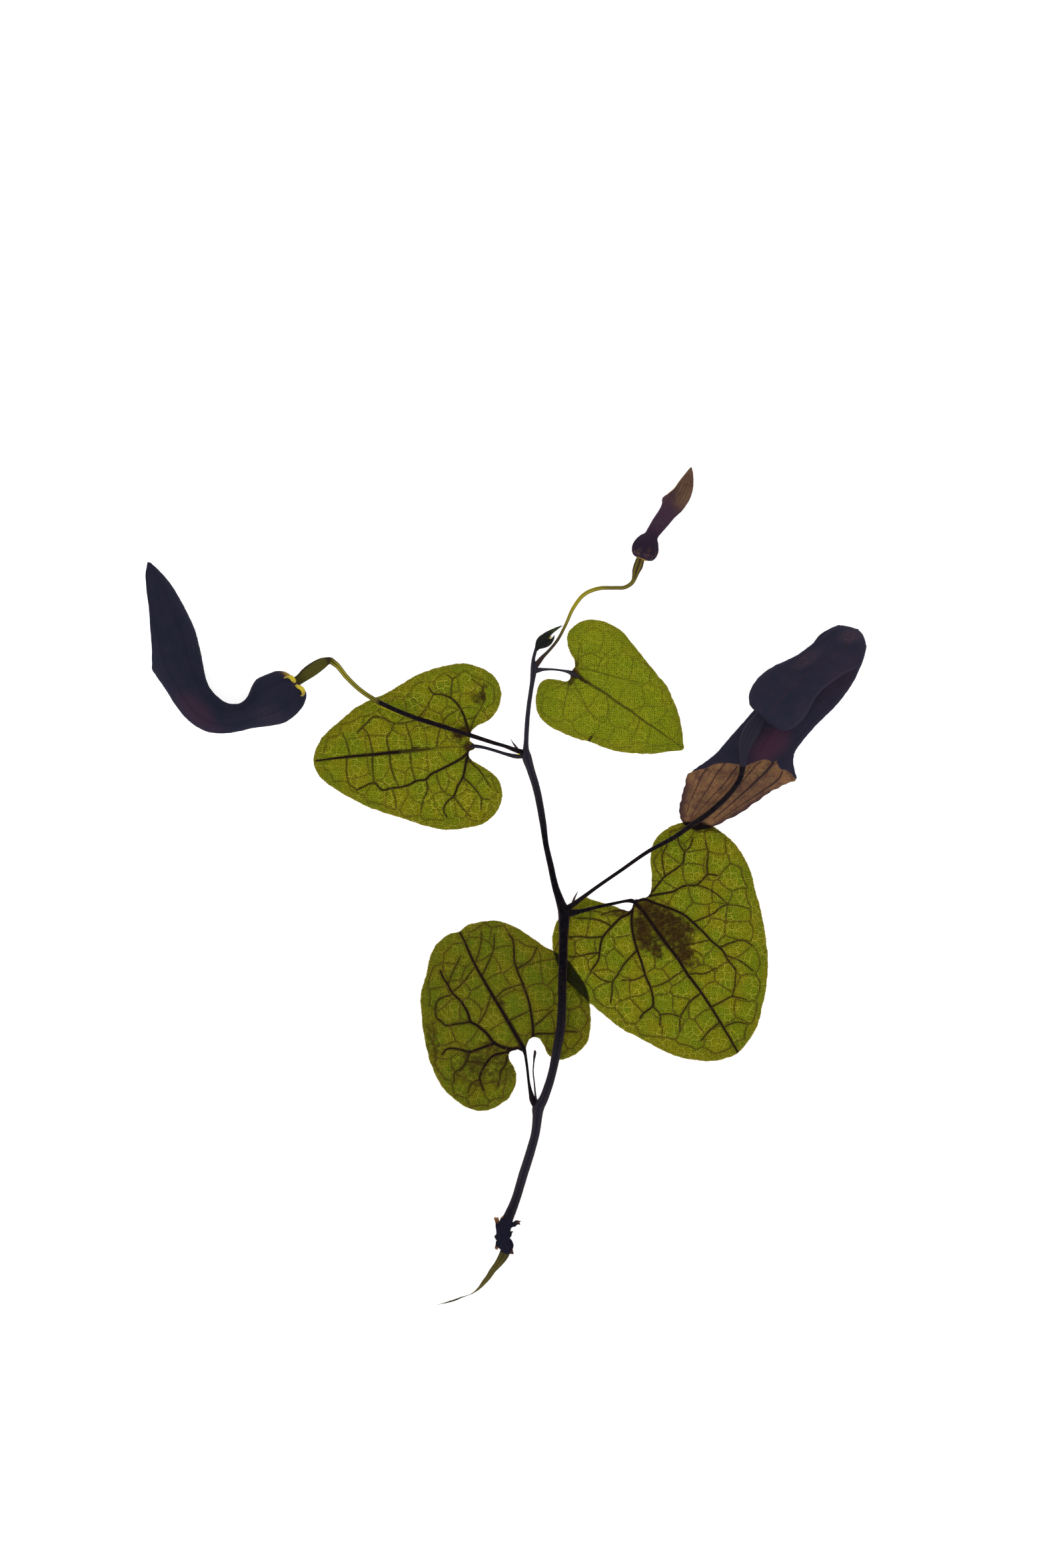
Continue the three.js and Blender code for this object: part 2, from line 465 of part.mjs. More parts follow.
// The flower stalk grows beside its leaf's stalk. The ovary grows from the flower stalk, and is rooted
// in a hollow of the pouch.
function flower(name, lines, rings, throat, angle = 0) {
  const stalkRoom = roomOf(lines.stalk);
  const ovaryRoom = roomOf(lines.ovary, OVARY_SIDES);
  const standing = toSolid(pipe(rings, throat).rotateZ(angle));
  add(`${name}_flower_stalk`, branch(lines.stalk, [stemRoom, roomOf(lines.leafStalk)]), flowerStalkSkin);
  add(`${name}_ovary`, branch(lines.ovary, [stalkRoom], OVARY_SIDES), ovarySkin);
  add(`${name}_pipe`, toGeometry(standing.subtract(ovaryRoom)), pipeSkin);
  return stalkRoom;
}
const leftLines = { stalk: leftFlowerStalkLine, ovary: leftOvaryLine, leafStalk: leftLeafStalkLine };
const topLines = { stalk: topFlowerStalkLine, ovary: topOvaryLine, leafStalk: upperLeafStalkLine };
const rightLines = { stalk: rightFlowerStalkLine, ovary: rightOvaryLine, leafStalk: rightLeafStalkLine };
const leftStalkRoom = flower("left", leftLines, leftPipeRings, LEFT_THROAT);
flower("top", topLines, topPipeRings, TOP_THROAT);
const rightStalkRoom = flower("right", rightLines, rightPipeRings, RIGHT_THROAT, RIGHT_PIPE_ANGLE);

// The dry stalk of a fallen flower, beside the lower leaf's stalk.
const dryFlowerStalkLine = [
  [6, -41, 1.6, 0.2], [5.72, -39.3, 1.7, 0.17], [5.55, -37.4, 1.75, 0.15], [5.3, -35, 1.6, 0.15],
  [5.4, -33, 1.3, 0.16], [5.5, -32.1, 1.15, 0.22], [5.6, -31.1, 1, 0.24],
];
add("dry_flower_stalk", branch(dryFlowerStalkLine, [stemRoom, roomOf(lowerLeafStalkLine)]), dryBark);

// Thin spikes that stand on the flower stalks in two leaf axils.
const secondSpikeLine = [
  [12.75, -3.2, 3, 0.22], [13, -2.3, 3.1, 0.18], [13.4, -1.6, 3.2, 0.14], [13.7, -0.87, 3.25, 0.08],
];
const thirdSpikeLine = [
  [2.35, 25.6, 1.75, 0.22], [1.85, 26.4, 1.9, 0.18], [1.4, 26.95, 2, 0.14], [1.02, 27.64, 2.05, 0.08],
];
add("second_joint_spike", branch(secondSpikeLine, [stemRoom, rightStalkRoom]), dryBark);
add("third_joint_spike", branch(thirdSpikeLine, [stemRoom, leftStalkRoom]), dryBark);

// The torn base: bark scales that stand off it, and a withered shoot that trails from it.
const baseLines = {
  bark_scale_left: [[-0.6, -64.9, 1.7, 0.5], [-1.45, -63.6, 1.9, 0.45], [-1.7, -62.1, 2.1, 0.4]],
  bark_scale_right: [[0.3, -64.2, 1.6, 0.45], [1.6, -63.4, 1.7, 0.42], [2.85, -62.9, 1.9, 0.2]],
  bark_scale_low: [[-0.2, -66.5, 1.4, 0.4], [1.1, -67.2, 1.3, 0.38], [1.3, -68.9, 1.1, 0.3]],
  bark_scale_low_left: [[-0.6, -66.2, 1.4, 0.4], [-1.6, -67, 1.2, 0.35], [-1.65, -68, 1, 0.3]],
  withered_tail: [
    [0.1, -67.8, 1.1, 0.7], [-0.2, -69, 1, 0.74], [-0.9, -70.2, 0.88, 0.72], [-1.7, -71.2, 0.78, 0.63],
    [-2.5, -72.1, 0.7, 0.56], [-3.4, -73.3, 0.62, 0.48], [-4.3, -74.5, 0.54, 0.38], [-5.1, -75.5, 0.46, 0.26],
    [-6, -76.3, 0.4, 0.18], [-7.2, -76.9, 0.38, 0.18], [-8.8, -77.3, 0.4, 0.24], [-10.2, -77.75, 0.36, 0.22],
    [-11.5, -78.2, 0.3, 0.15], [-13.1, -78.6, 0.25, 0.1],
  ],
};
for (const [name, line] of Object.entries(baseLines)) {
  add(name, branch(line), name === "withered_tail" ? witheredSkin : dryBark);
}

export default shoot;
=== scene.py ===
# %% [markdown]
# # An Andalusian dutchman's pipe, laid flat
#
# The object is one cut shoot of a climbing plant: a dark zigzag stem, four heart-shaped leaves, a young
# folded leaf and three pipe-shaped flowers. It lies on a bright surface and is seen from straight above.
# The measured model holds every organ at its real size. Here each organ is made again as a fine mesh in
# the same place, with the veins, ribs and folds that the measured solids leave out.
#
# Positions are in millimetres, as read off a ruler laid over the plant, and become metres only when a
# mesh is made.

import bpy
import numpy as np
from mathutils.geometry import delaunay_2d_cdt
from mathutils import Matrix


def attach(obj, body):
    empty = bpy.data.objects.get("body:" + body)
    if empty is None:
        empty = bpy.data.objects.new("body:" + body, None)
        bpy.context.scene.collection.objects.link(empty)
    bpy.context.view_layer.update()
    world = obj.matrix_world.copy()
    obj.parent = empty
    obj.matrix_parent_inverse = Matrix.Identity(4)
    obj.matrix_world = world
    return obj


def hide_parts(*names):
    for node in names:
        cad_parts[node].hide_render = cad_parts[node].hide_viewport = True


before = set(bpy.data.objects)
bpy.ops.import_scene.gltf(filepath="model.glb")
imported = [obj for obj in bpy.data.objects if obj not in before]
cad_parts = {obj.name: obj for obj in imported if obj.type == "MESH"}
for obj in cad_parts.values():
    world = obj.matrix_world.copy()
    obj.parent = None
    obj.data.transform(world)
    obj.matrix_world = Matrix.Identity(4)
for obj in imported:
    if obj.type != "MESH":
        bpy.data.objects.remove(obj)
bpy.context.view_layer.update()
MM = 0.001

# %% [markdown]
# ## The camera
#
# The plant was photographed from straight above, and it shows no perspective, so the camera stands far
# away behind a long lens. A camera with no rotation looks down, with +Y at the top of the picture, so
# only its place has to be worked out: far enough up for the whole height to fit in.

# %% Camera
PICTURE_HEIGHT = 294.1
PICTURE_MIDDLE = (3.3, 19.1)
LENS = 200
SENSOR = 36

camera_data = bpy.data.cameras.new("camera")
camera_data.lens = LENS
camera_data.sensor_width = SENSOR
camera_data.clip_end = 20
camera = bpy.data.objects.new("camera", camera_data)
camera.location = (
    PICTURE_MIDDLE[0] * MM,
    PICTURE_MIDDLE[1] * MM,
    PICTURE_HEIGHT * MM * LENS / SENSOR,
)
bpy.context.scene.collection.objects.link(camera)
bpy.context.scene.camera = camera
print(f"the camera is {camera.location.z:.2f} m above the table")

# %% [markdown]
# ## Light and table
#
# The surface under the plant is so bright that it shows as plain white, with hardly a shadow. A white
# world does most of that: its light comes from everywhere, so it leaves no hard shadow. One wide, weak
# sun adds a direction, which the ribs and veins need to be seen. The table glows a little, like paper on
# a bright window, and that takes the last grey out of the shadows. The Standard view keeps white white.

# %% Light and table
bpy.context.scene.view_settings.view_transform = "Standard"

world = bpy.data.worlds.new("white_world")
world.use_nodes = True
background = world.node_tree.nodes["Background"]
background.inputs["Color"].default_value = (1, 1, 1, 1)
background.inputs["Strength"].default_value = 0.85
bpy.context.scene.world = world

sun_data = bpy.data.lights.new("soft_sun", "SUN")
sun_data.energy = 0.6
sun_data.angle = 0.7
sun = bpy.data.objects.new("soft_sun", sun_data)
sun.rotation_euler = (0.55, -0.5, 0.3)
bpy.context.scene.collection.objects.link(sun)

TABLE_HALF = 2
TABLE_TOP = -0.00005
table_mesh = bpy.data.meshes.new("table")
square = [(-1, -1), (1, -1), (1, 1), (-1, 1)]
corners = [(TABLE_HALF * x, TABLE_HALF * y, TABLE_TOP) for x, y in square]
table_mesh.from_pydata(corners, [], [(0, 1, 2, 3)])
table = bpy.data.objects.new("table", table_mesh)
bpy.context.scene.collection.objects.link(table)
table_finish = bpy.data.materials.new("white_table")
table_finish.use_nodes = True
table_shader = table_finish.node_tree.nodes["Principled BSDF"]
table_shader.inputs["Base Color"].default_value = (0.9, 0.9, 0.9, 1)
table_shader.inputs["Roughness"].default_value = 0.9
table_shader.inputs["Specular IOR Level"].default_value = 0.0
table_shader.inputs["Emission Color"].default_value = (1, 1, 1, 1)
table_shader.inputs["Emission Strength"].default_value = 0.62
table_mesh.materials.append(table_finish)
print("white table, white world and one soft sun")

# %% [markdown]
# ## Smooth lines
#
# A plant has no straight edges, so every outline, vein and stalk starts as a few measured points and
# becomes a smooth line through them. A Catmull-Rom line is used because it passes through its points,
# unlike a Bezier or B-spline, whose handles would have to be placed too. Its centripetal form doesn't
# overshoot where two points are close together. Extra columns, such as a stalk's radius, are carried
# along and smoothed in the same way.


# %% Smooth lines
def length(vectors):
    """The length of each of many vectors."""
    return np.linalg.norm(vectors, axis=-1)


def smooth_line(points, step, closed=False, dimensions=2):
    """Rows that start with a place in mm, as a smooth line with a row about every step mm."""
    rows = np.array(points, float)
    if closed:
        rows = np.vstack([rows[-1], rows, rows[:2]])
    else:
        rows = np.vstack([2 * rows[0] - rows[1], rows, 2 * rows[-1] - rows[-2]])
    stretches = []
    for before, start, end, after in zip(rows, rows[1:], rows[2:], rows[3:]):
        places = np.array([before, start, end, after])[:, :dimensions]
        gaps = length(np.diff(places, axis=0))
        knots = np.concatenate([[0], np.cumsum(np.maximum(gaps, 1e-6) ** 0.5)])
        count = max(1, round(gaps[1] / step))
        t = (knots[1] + (knots[2] - knots[1]) * np.arange(count) / count)[:, None]

        def between(left, right, first, last):
            return (left * (knots[last] - t) + right * (t - knots[first])) / (knots[last] - knots[first])

        first = between(before, start, 0, 1)
        second = between(start, end, 1, 2)
        third = between(end, after, 2, 3)
        stretches.append(between(between(first, second, 0, 2), between(second, third, 1, 3), 1, 2))
    if not closed:
        stretches.append(rows[-2:-1])
    return np.vstack(stretches)


def lengths_along(line):
    """How far along a line each of its rows is, in mm."""
    return np.concatenate([[0], np.cumsum(length(np.diff(line, axis=0)))])


def unit(vectors):
    """The same directions with length 1."""
    return vectors / np.linalg.norm(vectors, axis=-1, keepdims=True)


corner = smooth_line([(0, 0), (5, 0), (5, 5)], 0.5)
print(f"three points became a line of {len(corner)} rows")

# %% [markdown]
# ## From numbers to a mesh
#
# Every organ ends as points and faces. Filling a mesh through `foreach_set` is much faster than
# `from_pydata` for the hundred thousand corners of a veined leaf. Values such as "this point is on a
# vein" are stored on the points as named attributes, which the material reads back: that paints the
# plant without any image.
#
# Each finished piece rides on the plant's one body and stands for its measured node, which it hides.


# %% Meshes and pieces
def make_mesh(name, points, faces, paint):
    """A smooth mesh in metres from points in mm, arrays of faces, and values painted on the points."""
    mesh = bpy.data.meshes.new(name)
    corners = np.concatenate([part.ravel() for part in faces])
    sizes = np.concatenate([np.full(len(part), part.shape[1]) for part in faces])
    mesh.vertices.add(len(points))
    mesh.vertices.foreach_set("co", (points * MM).astype(np.float32).ravel())
    mesh.loops.add(len(corners))
    mesh.loops.foreach_set("vertex_index", corners.astype(np.int32))
    mesh.polygons.add(len(sizes))
    mesh.polygons.foreach_set("loop_start", (np.cumsum(sizes) - sizes).astype(np.int32))
    mesh.update(calc_edges=True)
    mesh.validate()
    mesh.shade_smooth()
    for key, values in paint.items():
        mesh.attributes.new(key, "FLOAT", "POINT").data.foreach_set("value", values.astype(np.float32))
    return mesh


def add_piece(name, parts, finish, slot, *nodes):
    """Puts points, faces and paint on the plant, in place of the measured nodes that they stand for."""
    mesh = make_mesh(name, *parts)
    piece = bpy.data.objects.new(name, mesh)
    bpy.context.scene.collection.objects.link(piece)
    mesh.materials.append(finish)
    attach(piece, "root")
    if nodes:
        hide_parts(*nodes)
    triangles = sum(len(face.vertices) - 2 for face in mesh.polygons)
    print(f"{name}: {len(mesh.vertices)} points, {triangles} triangles")


def join_parts(parts):
    """Several (points, faces, paint) as one."""
    points, faces, start = [], [], 0
    for part_points, part_faces, _ in parts:
        points.append(part_points)
        faces += [face + start for face in part_faces]
        start += len(part_points)
    keys = parts[0][2]
    paint = {key: np.concatenate([part[2][key] for part in parts]) for key in keys}
    return np.vstack(points), faces, paint


# %% [markdown]
# ## Finishes from nodes
#
# A finish is a small tree of shader nodes, written as a chain of short calls: `cells` is the net between
# a leaf's veinlets, `noise` the unevenness of living tissue, `painted` reads an attribute off the mesh,
# `rise` turns a range of values into a soft step, `start` is the first coat of colour and `lay` puts
# each further one over it, as a painter works. All sizes are millimetres on the plant.


# %% Finish maker
def tint(code):
    """A colour such as 6f7d1e, red, green and blue, in the linear form that nodes use."""
    parts = [int(code[i : i + 2], 16) / 255 for i in (0, 2, 4)]
    return (*(part / 12.92 if part <= 0.04045 else ((part + 0.055) / 1.055) ** 2.4 for part in parts), 1)


class Finish:
    """A material that is built up node by node. Each step gives the output of its last node."""

    def __init__(self, name):
        self.material = bpy.data.materials.new(name)
        self.material.use_nodes = True
        self.tree = self.material.node_tree
        self.tree.nodes.clear()
        here = self.node("TexCoord", {}, "Object")
        self.place = self.node("VectorMath", {0: here, 1: (1000, 1000, 1000)}, operation="MULTIPLY")
        self.flat = self.node("VectorMath", {0: here, 1: (1000, 1000, 0)}, operation="MULTIPLY")
        self.colour = None

    def node(self, kind, inputs, output=0, **settings):
        made = self.tree.nodes.new("ShaderNode" + kind)
        for key, value in settings.items():
            setattr(made, key, value)
        for key, value in inputs.items():
            if isinstance(value, bpy.types.NodeSocket):
                self.tree.links.new(value, made.inputs[key])
            else:
                made.inputs[key].default_value = value
        return made.outputs[output]

    def painted(self, key):
        return self.node("Attribute", {}, "Fac", attribute_name=key)

    def noise(self, size, detail=2.0, where=None, output="Fac"):
        inputs = {"Vector": where or self.place, "Scale": 1 / size, "Detail": detail}
        return self.node("TexNoise", inputs, output)

    def cells(self, size, where, evenness=0.2):
        """How far a place is from the wall of its cell, in cell widths."""
        inputs = {"Vector": where, "Scale": 1 / size, "Randomness": 1 - evenness}
        settings = {"feature": "DISTANCE_TO_EDGE", "voronoi_dimensions": "2D"}
        return self.node("TexVoronoi", inputs, "Distance", **settings)

    def shaken(self, where, size, amount):
        """A place moved about by noise, so that a pattern loses its evenness."""
        shift = self.noise(size, 1.0, where, "Color")
        centred = self.node("VectorMath", {0: shift, 1: (0.5, 0.5, 0.5)}, operation="SUBTRACT")
        scaled = self.node("VectorMath", {0: centred, 1: (amount,) * 3}, operation="MULTIPLY")
        return self.node("VectorMath", {0: where, 1: scaled}, operation="ADD")

    def rise(self, value, low, high, top=1.0):
        """0 below low, top above high, and a smooth step between. With low above high it falls."""
        start, end = (0.0, top) if low < high else (top, 0.0)
        inputs = {"Value": value, "From Min": min(low, high), "From Max": max(low, high)}
        inputs |= {"To Min": start, "To Max": end}
        return self.node("MapRange", inputs, interpolation_type="SMOOTHSTEP")

    def times(self, first, second):
        return self.node("Math", {0: first, 1: second}, operation="MULTIPLY")

    def plus(self, first, second):
        return self.node("Math", {0: first, 1: second}, operation="ADD")

    def mix(self, share, under, over):
        """One colour laid over another. The mix node's sockets for colours are 6 and 7 in, 2 out."""
        under, over = (tint(coat) if isinstance(coat, str) else coat for coat in (under, over))
        return self.node("Mix", {0: share, 6: under, 7: over}, 2, data_type="RGBA")

    def start(self, share, under, over):
        """The first coat: two colours, the second one where share is high."""
        self.colour = self.mix(share, under, over)

    def lay(self, share, over):
        """A further coat, over all that was laid before."""
        self.colour = self.mix(share, self.colour, over)

    def done(self, roughness, height, depth, gloss, through=0.0, fuzz=0.0):
        """Ends the tree: depth is the relief in mm, gloss the specular level, and through is the share
        of light that passes through the tissue."""
        normal = self.node("Bump", {"Height": height, "Strength": 1.0, "Distance": depth * MM})
        inputs = {"Base Color": self.colour, "Roughness": roughness, "Normal": normal}
        inputs |= {"Specular IOR Level": gloss, "Sheen Weight": fuzz, "Sheen Roughness": 0.5}
        surface = self.node("BsdfPrincipled", inputs)
        if through:
            passing = self.node("BsdfTranslucent", {"Color": self.colour, "Normal": normal})
            surface = self.node("MixShader", {0: through, 1: surface, 2: passing})
        output = self.tree.nodes.new("ShaderNodeOutputMaterial")
        self.tree.links.new(surface, output.inputs["Surface"])
        return self.material


# %% [markdown]
# ## The leaf's finish
#
# Against the light a leaf of this plant shows four nets, one inside the other: dark main veins, brown
# veins that fence off fields of about 4 mm, bright lines round patches of about 1.2 mm, and the finest
# net of all, yellow green veinlets round dark green islands of a third of a millimetre. The first two
# are drawn on the mesh. The other two are Voronoi patterns: their cells crowd together just as the
# islands of a leaf do, and the distance to a cell's wall gives a line of any width. They are read in two
# dimensions, because a slice through three-dimensional cells has sizes that are too unlike.


# %% Leaf finish
def leaf_finish(name, bright, fresh, deep, net, line, size=0.29, shine=0.85, soft=0.24):
    """Tissue from fresh to bright, deep islands, veinlets of net colour and bright lines. size is an
    island's width in mm, shine the strength of the lines, and soft how wide an island fades."""
    skin = Finish(name)
    place = skin.shaken(skin.flat, 1.6, 0.3)
    islands = skin.cells(size, place, 0.2)
    patches = skin.cells(1.25, place, 0.1)
    uneven = skin.noise(0.5, 3.0)
    blots = skin.noise(0.9, 4.0)
    clouds = skin.noise(4.5, 2.0)

    skin.start(skin.rise(clouds, 0.35, 0.65), fresh, bright)
    island = skin.times(skin.rise(islands, 0.04, soft, 0.95), skin.rise(uneven, 0.1, 0.5))
    skin.lay(island, deep)
    veinlets = skin.rise(islands, 0.4 * soft, 0.02, 0.4)
    skin.lay(veinlets, net)
    shown = skin.rise(skin.noise(2.4), 0.36, 0.66)
    lines = skin.rise(patches, 0.045, 0.015, shine)
    lines = skin.times(lines, skin.plus(skin.times(shown, 0.8), 0.2))
    skin.lay(lines, line)

    rim = skin.painted("rim")
    skin.lay(skin.times(rim, 0.4), "64551a")
    # Painted light: a pale line along the very edge. The olive band laid before it is the margin's own
    # colour.
    skin.lay(skin.rise(rim, 0.7, 0.95, 0.7), "a8973a")
    stained = skin.plus(skin.painted("stain"), skin.rise(blots, 0.3, 0.7, 0.5))
    stained = skin.rise(stained, 0.32, 1.25, 0.97)
    skin.lay(stained, "2c190e")
    tan = skin.plus(skin.rise(islands, 0.12, 0.02, 0.17), skin.rise(patches, 0.05, 0.02, 0.3))
    skin.lay(skin.times(stained, tan), "7c642a")
    halo = skin.times(skin.painted("halo"), skin.rise(uneven, 0.1, 0.45))
    skin.lay(halo, "4a370f")
    vein = skin.times(skin.painted("vein"), skin.rise(uneven, 0.0, 0.3))
    skin.lay(vein, "1c1011")
    streak = skin.times(skin.painted("streak"), skin.rise(skin.noise(1.5), 0.35, 0.65, 0.8))
    skin.lay(streak, "83652f")
    skin.lay(skin.times(skin.painted("gleam"), 0.9), "c2b61a")
    # Painted shade: dark green where another leaf lies under this one, for the light lost through both.
    skin.lay(skin.times(skin.painted("overlap_shade"), 0.95), "121408")

    relief = skin.plus(skin.rise(islands, 0.0, 0.3, 0.5), skin.rise(patches, 0.0, 0.2, 0.7))
    roughness = skin.plus(skin.rise(skin.noise(1.6), 0.3, 0.7, 0.15), 0.5)
    return skin.done(roughness, relief, depth=0.04, gloss=0.04, through=0.25)


grown_leaf = leaf_finish("grown_leaf", "aca60f", "8da10e", "3a430a", "bbb727", "d8c84e")
low_leaf = leaf_finish("low_leaf", "949010", "7b8d0f", "363e09", "9f9d24", "bca63e")
light_leaf = leaf_finish("light_leaf", "a8aa14", "92a210", "3c470a", "b6ba2e", "ccc648", 0.31, 0.5, 0.3)
print("three leaf finishes")

# %% [markdown]
# ## The leaf's shape
#
# A heart-shaped blade has two deep lobes, so it can't be made by pulling an outline in towards its
# middle. Its outline is filled with triangles instead: a constrained Delaunay triangulation keeps every
# edge of the outline and makes well-shaped triangles between any points inside it. Points are set close
# together along the veins and further apart elsewhere, so that a vein has a crisp edge and a real
# ridge without a hundred times as many triangles.
#
# The blade then gets its height: flat on the table in the middle, lifting towards some edges, and
# passing over what lies below it. Between the veins it is slightly quilted, and its edge waves.


# %% Distances on a leaf
def distance_to(points, line):
    """How far each point is from a line, and how far along the line its nearest place is, 0 to 1."""
    start, along = line[:-1], np.diff(line, axis=0)
    from_start = points[:, None] - start
    share = np.clip((from_start * along).sum(2) / (along**2).sum(1), 0, 1)
    away = length(from_start - share[..., None] * along)
    nearest = away.argmin(1)
    each = np.arange(len(points))
    return away[each, nearest], (nearest + share[each, nearest]) / len(start)


def is_inside(points, loop):
    """Whether each point is inside an outline: a ray from it then crosses the outline an odd number of
    times."""
    x, y = points[:, :1], points[:, 1:2]
    ax, ay = loop[:, 0], loop[:, 1]
    bx, by = np.roll(ax, -1), np.roll(ay, -1)
    between = (ay > y) != (by > y)
    crossing = ax + (y - ay) * (bx - ax) / np.where(by == ay, 1e-9, by - ay)
    return (between & (x < crossing)).sum(1) % 2 == 1


def depth_inside(points, loop):
    """How far inside a closed outline each point is, in mm. Outside it the depth is below 0."""
    away, _ = distance_to(points, np.vstack([loop, loop[:1]]))
    return np.where(is_inside(points, loop), away, -away)


def soft_step(values, low, high):
    """0 below low, 1 above high, and a smooth step between."""
    share = np.clip((values - low) / (high - low), 0, 1)
    return share * share * (3 - 2 * share)


def spot(points, x, y, long, wide, angle=0.0):
    """1 at a place seen from above, fading to 0 over an oval round it."""
    turn = np.radians(angle)
    shift = points[:, :2] - (x, y)
    u = (shift @ (np.cos(turn), np.sin(turn))) / long
    v = (shift @ (-np.sin(turn), np.cos(turn))) / wide
    return 1 - soft_step(np.hypot(u, v), 0.3, 1.2)


# %% Height of a blade
def blade_height(leaf, points):
    """Flat on the table, rising past the lines of its lifts and over what lies under its humps."""
    height = np.zeros(len(points))
    for angle, start, rate in leaf["lifts"]:
        turn = np.radians(angle)
        beyond = (points - leaf["middle"]) @ (np.cos(turn), np.sin(turn)) - start
        height += rate * np.maximum(0, beyond) ** 2
    for x, y, radius, rise in leaf.get("humps", []):
        away = length(points - (x, y)) / radius
        height += rise * np.maximum(0, 1 - away**2) ** 2
    return height


# %% [markdown]
# ## The small veins
#
# The main veins of each leaf are given further down. The brown veins between them fence off
# fields about 4 mm across, and there are hundreds, so they are grown instead. A leaf's fields crowd each
# other like cells, which is a Voronoi diagram: every field is the land that lies nearest to its own
# seed. Two seeds that mirror each other across a main vein have their border on that vein, so with
# seeds in pairs along the main veins the small veins branch off from them and fill the rest. A second
# row of pairs just inside the margin makes the loops in which a leaf's veins end.


# %% Seeds of the fields
FIELD = 4.7
LOOPS_INSIDE_MARGIN = 1.5
ROWS_APART = 0.866


def even_line(line, step, closed=False):
    """A smooth line as rows at equal distances, and the direction to its left at each row."""
    line = smooth_line(line, 0.2, closed)
    if closed:
        line = np.vstack([line, line[:1]])
    along = lengths_along(line)
    places = np.linspace(0, along[-1], max(2, round(along[-1] / step) + 1))
    line = np.column_stack([np.interp(places, along, column) for column in line.T])
    heading = np.gradient(line, axis=0)
    return line, unit(np.c_[-heading[:, 1], heading[:, 0]])


def even_grid(margin, step):
    """Places in rows, each row shifted by half a step against the next, over the box of a margin."""
    low, high = margin.min(0), margin.max(0)
    columns = np.arange(low[0], high[0], step)
    rows = np.arange(low[1], high[1], step * ROWS_APART)
    return np.array([(x + step / 2 * (i % 2), y) for i, y in enumerate(rows) for x in columns])


def field_seeds(margin, veins, chance):
    """Seeds in pairs along the veins and the margin, and then loose ones wherever there is room."""
    spread = FIELD * 0.45
    wanted = []
    for _, _, line in veins:
        line, left = even_line(line, FIELD * 0.85)
        wanted += [line + left * spread, line - left * spread]
    edge, left = even_line(margin[::4], FIELD * 0.8, closed=True)
    wanted.append(edge + left * (LOOPS_INSIDE_MARGIN + spread))
    outside = edge + left * (LOOPS_INSIDE_MARGIN - spread)
    paired = sum(len(rows) for rows in wanted)
    grid = even_grid(margin, FIELD * 0.8)
    wanted = np.vstack([*wanted, grid + chance.uniform(-0.25, 0.25, grid.shape) * FIELD])
    inside = is_inside(wanted, margin)
    chosen = outside
    for number, place in enumerate(wanted):
        room = FIELD * (0.55 if number < paired else 0.78)
        if inside[number] and length(chosen - place).min() > room:
            chosen = np.vstack([chosen, place])
    return chosen


# %% Borders of the fields
SHORTEST_VEIN = 0.25
LONGEST_VEIN = 2.2 * FIELD
ON_MAIN_VEIN = 0.65
SMALL_VEIN_WIDTHS = (0.13, 0.24)


def middle_of(corners):
    """The place at the same distance from three corners, for many triangles at once."""
    a, b, c = corners[:, 0], corners[:, 1] - corners[:, 0], corners[:, 2] - corners[:, 0]
    size = 2 * (b[:, 0] * c[:, 1] - b[:, 1] * c[:, 0])
    size = np.where(np.abs(size) < 1e-9, 1e-9, size)
    bb, cc = (b**2).sum(1), (c**2).sum(1)
    return a + np.c_[c[:, 1] * bb - b[:, 1] * cc, b[:, 0] * cc - c[:, 0] * bb] / size[:, None]


def small_veins(margin, veins, seed):
    """Lines along the borders of the fields, from one meeting point of three fields to the next."""
    chance = np.random.default_rng(seed)
    seeds = field_seeds(margin, veins, chance)
    found = delaunay_2d_cdt([tuple(place) for place in seeds], [], [], 0, 1e-7)
    places, triangles = np.array([tuple(place) for place in found[0]]), found[2]
    meetings = middle_of(places[np.array(triangles)])
    beside = {}
    for number, triangle in enumerate(triangles):
        for a, b in zip(triangle, triangle[1:] + triangle[:1]):
            beside.setdefault((min(a, b), max(a, b)), []).append(number)
    pairs = np.array([pair for pair in beside.values() if len(pair) == 2])
    share = np.linspace(0, 1, 9)[None, :, None]
    lines = meetings[pairs[:, :1]] * (1 - share) + meetings[pairs[:, 1:]] * share
    lengths = length(lines[:, -1] - lines[:, 0])
    flat = lines.reshape(-1, 2)
    inside = is_inside(flat, margin).reshape(lines.shape[:2])
    to_vein = np.min([distance_to(flat, smooth_line(line, 0.6))[0] for _, _, line in veins], axis=0)
    on_vein = to_vein.reshape(lines.shape[:2]).max(1) < ON_MAIN_VEIN
    grown = []
    for line, reach, within, drawn in zip(lines, lengths, inside, on_vein):
        if drawn or reach < SHORTEST_VEIN or reach > LONGEST_VEIN or within.sum() < 3:
            continue
        line = line[within] if within[0] or within[-1] else line
        sway = chance.uniform(-0.12, 0.12) * reach
        heading = (line[-1] - line[0]) / max(np.linalg.norm(line[-1] - line[0]), 1e-6)
        bend = np.sin(np.linspace(0, np.pi, len(line)))[:, None] * sway
        width = chance.uniform(*SMALL_VEIN_WIDTHS)
        grown.append((width, width, (line + np.array([-heading[1], heading[0]]) * bend)[::2]))
    return grown


# %% Points of a blade
GRID = 0.45
MARGIN_STEP = 0.2
VEIN_STEP = 0.3
SAME_PLACE = 0.08


